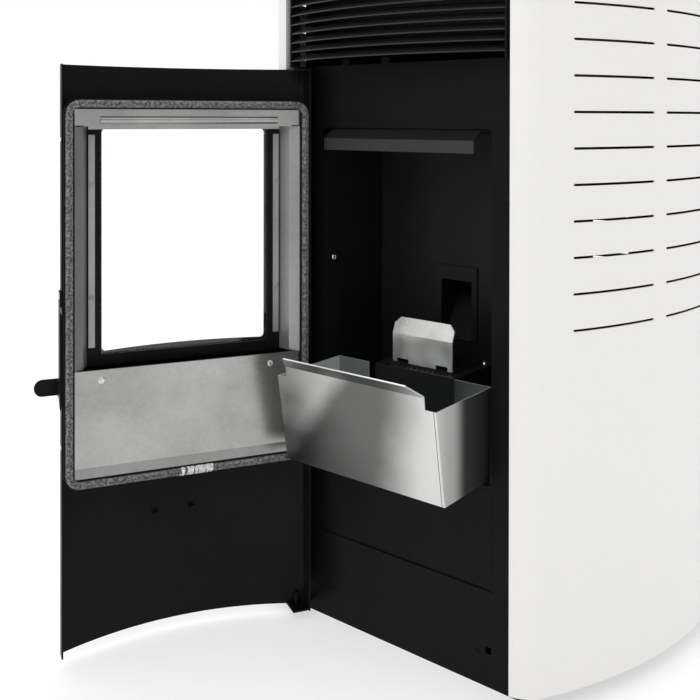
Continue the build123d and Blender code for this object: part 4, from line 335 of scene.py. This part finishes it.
def pale_floor():
    """Pale floor with a little light of its own, so that shadows on it stay soft."""
    mat = painted("floor_pale", (0.46, 0.46, 0.46), 0.80, grain=90.0, grain_depth=0.0002,
                  tone=0.006, spec=0.1)
    shader = mat.node_tree.nodes["Principled BSDF"]
    shader.inputs["Emission Color"].default_value = (1, 1, 1, 1)
    shader.inputs["Emission Strength"].default_value = 0.57
    return mat


def fire_glass():
    """Clear ceramic pane with a trace of wiping smears in its gloss."""
    mat, nt, shader = tree_of("fire_glass")
    shader.inputs["Transmission Weight"].default_value = 1.0
    shader.inputs["IOR"].default_value = 1.45
    smear = noise(nt, 14.0, 6.0, (1, 1, 0.35))
    nt.links.new(spread(nt, smear, 0.0, 0.012), shader.inputs["Roughness"])
    tint = two_tone(nt, smear, (0.96, 0.98, 0.975), (1, 1, 1))
    nt.links.new(tint, shader.inputs["Base Color"])
    return mat


WHITE = painted("white_paint", (0.825, 0.82, 0.803), 0.36, tone=0.003, spec=0.4)
BLACK = painted("black_paint", (0.0056, 0.0057, 0.0059), 0.42, tone=0.15, spec=0.09)
SATIN = painted("satin_black", (0.017, 0.017, 0.0172), 0.36, tone=0.12, spec=0.42)
INNER = painted("inner_black", (0.0085, 0.0088, 0.0090), 0.48, grain=500.0, tone=0.25, spec=0.25)
SOOT = painted("soot_black", (0.0095, 0.0098, 0.0098), 0.55, grain=420.0, tone=0.35, spec=0.25)
GALVANISED = metal("galvanised", (0.30, 0.305, 0.298), (0.45, 0.455, 0.445), 0.30, cloud=9.0,
                   brush=(0.10, 0.10, 1), brush_scale=420.0, spangle=0.10, swing=0.06,
                   wave=0.0012)
DULL_ZINC = metal("dull_zinc", (0.33, 0.35, 0.345), (0.48, 0.50, 0.49), 0.42, cloud=14.0,
                  spangle=0.25)
REVEAL_ZINC = metal("reveal_zinc", (0.27, 0.275, 0.27), (0.38, 0.385, 0.378), 0.40, cloud=6.0,
                    brush=(1, 1, 0.08), brush_scale=420.0, spangle=0.10, metallic=0.62)
BRIGHT = metal("bright_steel", (0.42, 0.42, 0.41), (0.60, 0.60, 0.585), 0.30, cloud=12.0,
               brush=(0.08, 1, 0.08), brush_scale=380.0, swing=0.05, metallic=0.6)
PAN_METAL_PAINTED_REFLECTIONS = pan_metal_painted_reflections()
FLAME_METAL = metal("flame_metal", (0.42, 0.42, 0.41), (0.92, 0.92, 0.90), 0.24, cloud=20.0,
                    brush=(1, 1, 0.1), brush_scale=500.0, swing=0.06, wave=0.0010, detail=1.0,
                    start=0.38, end=0.58, metallic=0.55)
ZINC = metal("zinc_screw", (0.62, 0.62, 0.60), (0.86, 0.85, 0.82), 0.24, cloud=80.0,
             brush_scale=900.0)
CAST = metal("cast_metal", (0.36, 0.36, 0.37), (0.50, 0.50, 0.51), 0.48, cloud=30.0, depth=0.0001)
PLASTIC = painted("black_plastic", (0.02, 0.02, 0.021), 0.42, grain=1500.0, tone=0.1)
GREY_PLASTIC = painted("grey_plastic", (0.22, 0.22, 0.23), 0.42, grain=1500.0, tone=0.06)
DISPLAY = painted("display", (0.004, 0.005, 0.007), 0.10, grain=120.0, grain_depth=0.00001,
                  tone=0.3)
ROPE_CORE = thread("rope_core", 0.008, 0.02, 0.6)
ROPE_GREY = thread("rope_grey", 0.03, 0.26)
ROPE_LIGHT = thread("rope_light", 0.05, 0.40)
ROPE_WHITE = thread("rope_white", 0.55, 0.86)
FLOOR = pale_floor()
GLASS = fire_glass()

FINISH = {
    WHITE: "side_panel_left side_panel_right",
    SATIN: "louvre_blades smoke_deflector",
    BLACK: "base_tray front_frame service_cover back_panel top_cover louvre_frame "
           "door_skin door_frame glass_frame latch_lever hinge_brackets door_hinge_plates "
           "hopper_lid control_panel",
    INNER: "firebox_shell side_liners liner_back",
    SOOT: "pellet_chute burn_pot_housing burn_pot",
    GALVANISED: "air_wash_plate lower_panel",
    REVEAL_ZINC: "reveal_strips glass_clamps",
    DULL_ZINC: "hopper auger_tube flue_duct smoke_fan_housing room_fan_housing latch_keeper "
               "heat_exchanger",
    PAN_METAL_PAINTED_REFLECTIONS: "ash_pan",
    FLAME_METAL: "flame_plate",
    BRIGHT: "flue_spigot air_intake",
    ZINC: "door_screws fixing_screws latch_pin lid_pins auger_screw igniter",
    ROPE_CORE: "rope_gasket",
    GLASS: "door_glass",
    DISPLAY: "display_window",
    PLASTIC: "mains_inlet mains_rocker",
    GREY_PLASTIC: "key_down key_up key_menu key_power control_board",
    CAST: "auger_motor smoke_fan_motor smoke_impeller room_fan_motor room_rotor",
}


def dress(obj, mat):
    """Gives a node one material in all its slots."""
    if not obj.material_slots:
        obj.data.materials.append(mat)
    for slot in obj.material_slots:
        slot.link = "OBJECT"
        slot.material = mat


for finish, names in FINISH.items():
    for name in names.split():
        dress(nodes[name], finish)

# ======================================================================
# Softened edges
# ======================================================================

# how far each CAD node's sharp edges are rounded, in mm
EDGE_WIDTHS = {
    "door_skin": 0.5, "door_frame": 0.5, "glass_frame": 0.4, "side_panel_left": 0.6,
    "side_panel_right": 0.6, "front_frame": 0.5, "service_cover": 0.5, "base_tray": 0.6,
    "ash_pan": 0.35, "flame_plate": 0.4, "lower_panel": 0.3, "air_wash_plate": 0.3,
    "reveal_strips": 0.3, "glass_clamps": 0.4, "smoke_deflector": 0.4, "burn_pot": 0.4,
    "burn_pot_housing": 0.5, "pellet_chute": 0.4, "louvre_blades": 0.3, "louvre_frame": 0.4,
    "top_cover": 0.8, "hopper_lid": 0.5, "latch_lever": 0.4, "latch_pin": 0.8,
    "back_panel": 0.4, "control_panel": 0.5, "mains_inlet": 0.5, "hinge_brackets": 0.4,
    "side_liners": 0.4, "liner_back": 0.4,
}


def soften(name, width):
    """Rounds a CAD node's sharp edges as bent or deburred sheet has them."""
    mod = nodes[name].modifiers.new("edges", "BEVEL")
    mod.width = width * MM
    mod.segments = 2
    mod.limit_method = "ANGLE"
    mod.angle_limit = radians(35)
    mod.use_clamp_overlap = True
    mod.harden_normals = True


for name, width in EDGE_WIDTHS.items():
    soften(name, width)


# ======================================================================
# Mesh helpers
# ======================================================================

def mesh_piece(name, verts, faces, mats, body, place, face_mats=None):
    """A mesh piece from points in mm, placed by a matrix, riding on a body."""
    mesh = bpy.data.meshes.new(name)
    mesh.from_pydata([place @ Vector(v) for v in verts], [], faces)
    for mat in mats:
        mesh.materials.append(mat)
    if face_mats:
        mesh.polygons.foreach_set("material_index", face_mats)
    mesh.polygons.foreach_set("use_smooth", [True] * len(mesh.polygons))
    mesh.update()
    obj = bpy.data.objects.new(name, mesh)
    bpy.context.scene.collection.objects.link(obj)
    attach(obj, body)
    return obj


def recalc(obj):
    """Turns all faces outwards."""
    bm = bmesh.new()
    bm.from_mesh(obj.data)
    bmesh.ops.recalc_face_normals(bm, faces=bm.faces)
    bm.to_mesh(obj.data)
    bm.free()
    return obj


def join(verts, faces, part):
    """Adds a part's points and faces to the lists; gives its number of faces."""
    part_verts, part_faces = part
    start = len(verts)
    verts += part_verts
    faces += [tuple(i + start for i in face) for face in part_faces]
    return len(part_faces)


def screw_head(center, out, radius, height, turn):
    """Points and faces of a pan head with a cross recess, on a seat at center facing out."""
    out = Vector(out).normalized()
    side = out.orthogonal().normalized()
    up = out.cross(side)
    rings, spokes = 12, 40
    dome_drop, dome_curve = 0.55, 2.6
    slot_width, slot_reach, slot_depth = radius * 0.13, radius * 0.62, height * 0.55
    verts, faces = [], []
    for i in range(rings + 1):
        share = i / rings
        reach = radius * share
        dome = height * (1 - dome_drop * share ** dome_curve) if i < rings else 0.0
        for j in range(spokes):
            a = 2 * pi * j / spokes
            x, y = reach * cos(a), reach * sin(a)
            u = x * cos(turn) + y * sin(turn)
            v = -x * sin(turn) + y * cos(turn)
            deep = max(abs(u), abs(v)) < slot_reach and min(abs(u), abs(v)) < slot_width
            h = dome - (slot_depth if deep else 0)
            verts.append(Vector(center) + side * x + up * y + out * h)
    for i in range(rings):
        for j in range(spokes):
            k = (j + 1) % spokes
            a, b = i * spokes, (i + 1) * spokes
            faces.append((a + j, b + j, b + k, a + k) if i else (b + j, b + k, j))
    return verts, faces


def screws(name, heads, body, place=PLAIN, small_mat=None):
    """Heads, each (center, out, (radius, height), turn), as one piece.

    Heads under the small radius take small_mat where it is given.
    """
    verts, faces, mats = [], [], []
    for center, out, (radius, height), turn in heads:
        count = join(verts, faces, screw_head(center, out, radius, height, turn))
        mats += [1 if small_mat and radius < SMALL_HEAD_RADIUS else 0] * count
    finishes = [ZINC, small_mat] if small_mat else [ZINC]
    return recalc(mesh_piece(name, verts, faces, finishes, body, place, mats))


def tube(points, wides, thicks, half_wide, half_thick, sides, closed):
    """Points and faces of a flattened tube; wides and thicks are its directions at each point."""
    verts, faces = [], []
    n = len(points)
    for p, wide, thick in zip(points, wides, thicks):
        for j in range(sides):
            a = 2 * pi * j / sides
            verts.append(p + wide * (half_wide * cos(a)) + thick * (half_thick * sin(a)))
    for i in range(n if closed else n - 1):
        a, b = i * sides, ((i + 1) % n) * sides
        for j in range(sides):
            k = (j + 1) % sides
            faces.append((a + j, a + k, b + k, b + j))
    return verts, faces


# ======================================================================
# Braided rope gasket in the door's channel
# ======================================================================

def rope_path(step):
    """Points and outward headings round the gasket's rounded rectangle, in shut-door mm.

    The straights are cut into pieces a little over the step.
    """
    r = ROPE_CORNER
    corner_steps = 6
    mid_z = (ROPE_LOW_Z + ROPE_HIGH_Z) / 2
    in_x, in_z = ROPE_HALF_X - r, (ROPE_HIGH_Z - ROPE_LOW_Z) / 2 - r
    corners = [(in_x, -in_z, -90), (in_x, in_z, 0), (-in_x, in_z, 90), (-in_x, -in_z, 180)]

    def on_corner(cx, cz, degrees):
        a = radians(degrees)
        heading = Vector((cos(a), 0, sin(a)))
        return Vector((cx + r * cos(a), 0, cz + r * sin(a))), heading

    pts = []
    for index, (cx, cz, start) in enumerate(corners):
        for k in range(corner_steps + 1):
            pts.append(on_corner(cx, cz, start + 90 * k / corner_steps))
        begin, heading = pts[-1]
        end = on_corner(*corners[(index + 1) % 4])[0]
        count = int((end - begin).length / step)
        for k in range(1, count):
            pts.append((begin.lerp(end, k / count), heading))
    return [(Vector((p.x, ROPE_MID_Y, mid_z + p.z)), h) for p, h in pts]


def resample(path, count):
    """The closed path as a number of points at equal steps."""
    lengths = [0.0]
    n = len(path)
    for i in range(n):
        lengths.append(lengths[-1] + (path[(i + 1) % n][0] - path[i][0]).length)
    total = lengths[-1]
    result, seg = [], 0
    for k in range(count):
        s = total * k / count
        while lengths[seg + 1] < s:
            seg += 1
        t = (s - lengths[seg]) / max(1e-9, lengths[seg + 1] - lengths[seg])
        a, b = path[seg % n], path[(seg + 1) % n]
        result.append((a[0].lerp(b[0], t), a[1].lerp(b[1], t).normalized()))
    return result


def braid():
    """Two hands of flat strands wound over and under each other round a core."""
    turns, strands, count = 66, 16, 1320
    middle, weave_depth = 4.10, 0.40
    slack_depth, slack_pace, slack_shift = 0.10, 0.083, 1.7
    strand_wide, strand_thick, core_radius = 0.78, 0.52, 3.75
    base = resample(rope_path(12.0), count)
    depth = Vector((0, 1, 0))
    verts, faces, mats = [], [], []
    for s in range(strands):
        hand = 1 if s % 2 else -1
        offset = 4 * pi * (s // 2) / strands
        points, wides, thicks = [], [], []
        for k, (p, h) in enumerate(base):
            a = hand * 2 * pi * turns * k / count + offset
            weave = cos(a * strands / 4 * hand + (pi if hand > 0 else 0))
            slack = slack_depth * sin(k * slack_pace + s * slack_shift)
            outward = h * cos(a) + depth * sin(a)
            points.append(p + outward * (middle + weave_depth * weave + slack))
            thicks.append(outward)
        for k in range(count):
            ahead = (points[(k + 1) % count] - points[k - 1]).normalized()
            wides.append(ahead.cross(thicks[k]).normalized())
        strand = tube(points, wides, thicks, strand_wide, strand_thick, 4, True)
        mats += [1 + s % 2] * join(verts, faces, strand)
    points, headings = [p for p, h in base], [h for p, h in base]
    core = tube(points, headings, [depth] * count, core_radius, core_radius, 8, True)
    mats += [0] * join(verts, faces, core)
    threads = [ROPE_CORE, ROPE_GREY, ROPE_LIGHT]
    rope = mesh_piece("rope_braid", verts, faces, threads, "door", DOOR, mats)
    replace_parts(rope, "rope_gasket")


def rope_joint():
    """White thread wound criss-cross round the two butted ends, a little uneven."""
    start_x, end_x, drift = -27.0, 17.0, 1.6
    inner_reach, layer_rise, unevenness = 4.78, 0.14, 0.10
    thread_wide, thread_thick = 0.95, 0.30
    steps_per_turn = 16
    layers = ((13, 1, 0.0), (9, -1, 1.9), (11, 1, 3.7))  # turns, hand, phase
    verts, faces = [], []
    for layer, (turns, hand, phase) in enumerate(layers):
        points, wides, thicks = [], [], []
        steps = turns * steps_per_turn
        for k in range(steps + 1):
            t = k / steps
            a = hand * 2 * pi * turns * t + phase
            x = start_x + (end_x - start_x) * t + drift * sin(a * 0.37 + phase)
            reach = inner_reach + layer_rise * layer + unevenness * sin(a * 0.61)
            outward = Vector((0.16 * sin(a * 0.5), sin(a), cos(a))).normalized()
            points.append(Vector((x, ROPE_MID_Y, ROPE_LOW_Z)) + outward * reach)
            thicks.append(outward)
        for k in range(len(points)):
            ahead = (points[min(k + 1, steps)] - points[max(k - 1, 0)]).normalized()
            wides.append(ahead.cross(thicks[k]).normalized())
        join(verts, faces, tube(points, wides, thicks, thread_wide, thread_thick, 6, False))
    mesh_piece("rope_binding", verts, faces, [ROPE_WHITE], "door", DOOR)


braid()
rope_joint()


# ======================================================================
# Screws and pins
# ======================================================================

def clamp_face_y():
    """Rear face of the glass clamps: skin, pane, glass frame and clamp, one behind the other."""
    bow_radius = (DOOR_HALF_WIDTH ** 2 + DOOR_BOW ** 2) / (2 * DOOR_BOW)
    bow_middle = FRONT_Y - DOOR_EDGE_REACH - DOOR_BOW + bow_radius
    skin_inner = bow_middle - ((bow_radius - DOOR_SHEET) ** 2 - GLASS_HALF_WIDTH ** 2) ** 0.5
    return skin_inner + MOVE_GAP + GLASS_SHEET + GLASS_FRAME_SHEET + CLAMP_SHEET


def door_fasteners():
    """Two heads on the lower panel, four on the glass clamps, two rivets on the free edge."""
    rearwards, outwards = (0, 1, 0), (1, 0, 0)
    panel_face = CHANNEL_FACE_Y + STRIP_SHEET
    heads = []
    for sign in (-1, 1):
        place = (DOOR_SCREW_SHIFT + sign * DOOR_SCREW_X, panel_face, DOOR_SCREW_Z)
        heads.append((place, rearwards, DOOR_HEAD, 0.35 + 0.5 * (sign > 0)))
    clamp_face = clamp_face_y()
    window_middle = (WINDOW_TOP_Z + WINDOW_BOTTOM_Z) / 2
    window_quarter = (WINDOW_TOP_Z - WINDOW_BOTTOM_Z) / 4
    for sx in (-1, 1):
        for sz in (-1, 1):
            place = (sx * CLAMP_X, clamp_face, window_middle + sz * window_quarter)
            heads.append((place, rearwards, CLAMP_HEAD, 0.8 * sz + 0.2))
    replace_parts(screws("door_screw_heads", heads, "door", DOOR, REVEAL_ZINC), "door_screws")
    rivets = []
    for z in EDGE_RIVET_Z:
        place = (DOOR_HALF_WIDTH, FRONT_Y - EDGE_RIVET_REACH, z)
        rivets.append((place, outwards, RIVET_HEAD, z))  # its height also serves as its turn
    screws("door_edge_rivets", rivets, "door", DOOR)


def latch_head():
    """Bright dome on the outer end of the latch pin."""
    pin = nodes["latch_pin"]
    end = max((pin.matrix_world @ v.co / MM - LATCH_PIVOT).dot(LATCH_AXIS)
              for v in pin.data.vertices)
    head = (LATCH_PIVOT + LATCH_AXIS * end, LATCH_AXIS, PIN_HEAD, 0.4)
    screws("latch_pin_head", [head], "latch")


def casing_fasteners():
    """Two black heads on the skirt, two on the firebox walls, one on the burn pot's deck."""
    x, y, z = SKIRT_SCREW
    heads = [((sign * x, y, z), (0, -1, 0), SKIRT_HEAD, 0.4) for sign in (-1, 1)]
    x, y, z = WALL_SCREW
    heads += [((sign * x, y, z), (-sign, 0, 0), WALL_HEAD, 0.7) for sign in (-1, 1)]
    heads.append((DECK_SCREW, (0, 0, 1), DECK_HEAD, 0.2))
    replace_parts(screws("fixing_screw_heads", heads, "casing", small_mat=BLACK), "fixing_screws")


door_fasteners()
latch_head()
casing_fasteners()


# ======================================================================
# Room, light and camera
# ======================================================================

def pale_stage():
    """The floor that the stove stands on."""
    bpy.ops.mesh.primitive_plane_add(size=120, location=(0, 0, 0))
    floor = bpy.context.object
    floor.name = "floor"
    floor.data.materials.append(FLOOR)


def white_room():
    """White surroundings, dimmer low down in front so that bare sheet has something to mirror."""
    world = bpy.data.worlds.new("studio")
    world.use_nodes = True
    nt = world.node_tree
    coord = nt.nodes.new("ShaderNodeTexCoord")
    direction = coord.outputs["Generated"]
    parts = nt.nodes.new("ShaderNodeSeparateXYZ")
    nt.links.new(direction, parts.inputs[0])
    height = parts.outputs["Z"]
    clouds = nt.nodes.new("ShaderNodeTexNoise")
    clouds.inputs["Scale"].default_value = 2.2
    clouds.inputs["Detail"].default_value = 1.0
    nt.links.new(direction, clouds.inputs["Vector"])
    # the dim side, low down and in soft patches; the ceiling is a little brighter
    dim_side = smooth_step(nt, along(nt, direction, (0.80, -0.60, 0.0)), -0.25, 0.75)
    dim = maths(nt, "MULTIPLY", dim_side, smooth_step(nt, height, 0.25, 0.75, 1.0, 0.0))
    patches = smooth_step(nt, clouds.outputs["Fac"], 0.35, 0.65, 0.25, 0.85)
    dim = maths(nt, "MULTIPLY", dim, patches)
    level = maths(nt, "SUBTRACT", smooth_step(nt, height, 0.3, 0.9, 1.0, 1.28), dim)
    # plain white behind the stove and through its window
    path = nt.nodes.new("ShaderNodeLightPath")
    seen = maths(nt, "MAXIMUM", path.outputs["Is Camera Ray"],
                 path.outputs["Is Transmission Ray"])
    mix = nt.nodes.new("ShaderNodeMix")
    nt.links.new(seen, mix.inputs[0])
    nt.links.new(level, mix.inputs[2])
    mix.inputs[3].default_value = 1.0
    shade = nt.nodes["Background"]
    shade.inputs["Color"].default_value = (1.0, 1.0, 1.0, 1)
    nt.links.new(mix.outputs[0], shade.inputs["Strength"])
    bpy.context.scene.world = world


def area(name, place, aim, size, power):
    """A rectangular lamp at a place in metres, turned towards its aim."""
    data = bpy.data.lights.new(name, "AREA")
    data.shape = "RECTANGLE"
    data.size, data.size_y = size
    data.energy = power
    lamp = bpy.data.objects.new(name, data)
    bpy.context.scene.collection.objects.link(lamp)
    lamp.location = place
    lamp.rotation_euler = (Vector(aim) - Vector(place)).to_track_quat("-Z", "Y").to_euler()


def camera():
    """The photo's view, recovered from the stove's vertical and level edges."""
    data = bpy.data.cameras.new("photo_camera")
    data.sensor_width = 36.0
    data.lens = 46.899
    data.shift_x = 0.0798
    data.shift_y = -0.3220
    data.clip_start = 0.02
    cam = bpy.data.objects.new("photo_camera", data)
    bpy.context.scene.collection.objects.link(cam)
    place = (0.64924, -1.20839, 0.68024)
    yaw, pitch, roll = radians(40.188), radians(-0.344), radians(0.0592)
    forward = Vector((-sin(yaw) * cos(pitch), cos(yaw) * cos(pitch), sin(pitch)))
    level_right = Vector((cos(yaw), sin(yaw), 0))
    level_up = level_right.cross(forward)
    right = level_right * cos(roll) + level_up * sin(roll)
    up = -level_right * sin(roll) + level_up * cos(roll)
    turn = Matrix((right, up, -forward)).transposed().to_4x4()
    cam.matrix_world = Matrix.Translation(place) @ turn
    bpy.context.scene.camera = cam


pale_stage()
white_room()
area("key", place=(0.5, -2.8, 2.2), aim=(0, 0, 0.45), size=(1.8, 1.4), power=13)
area("side", place=(3.0, -0.3, 1.9), aim=(0.2, 0, 0.5), size=(1.2, 1.8), power=3)
camera()
bpy.context.scene.view_settings.view_transform = "Standard"
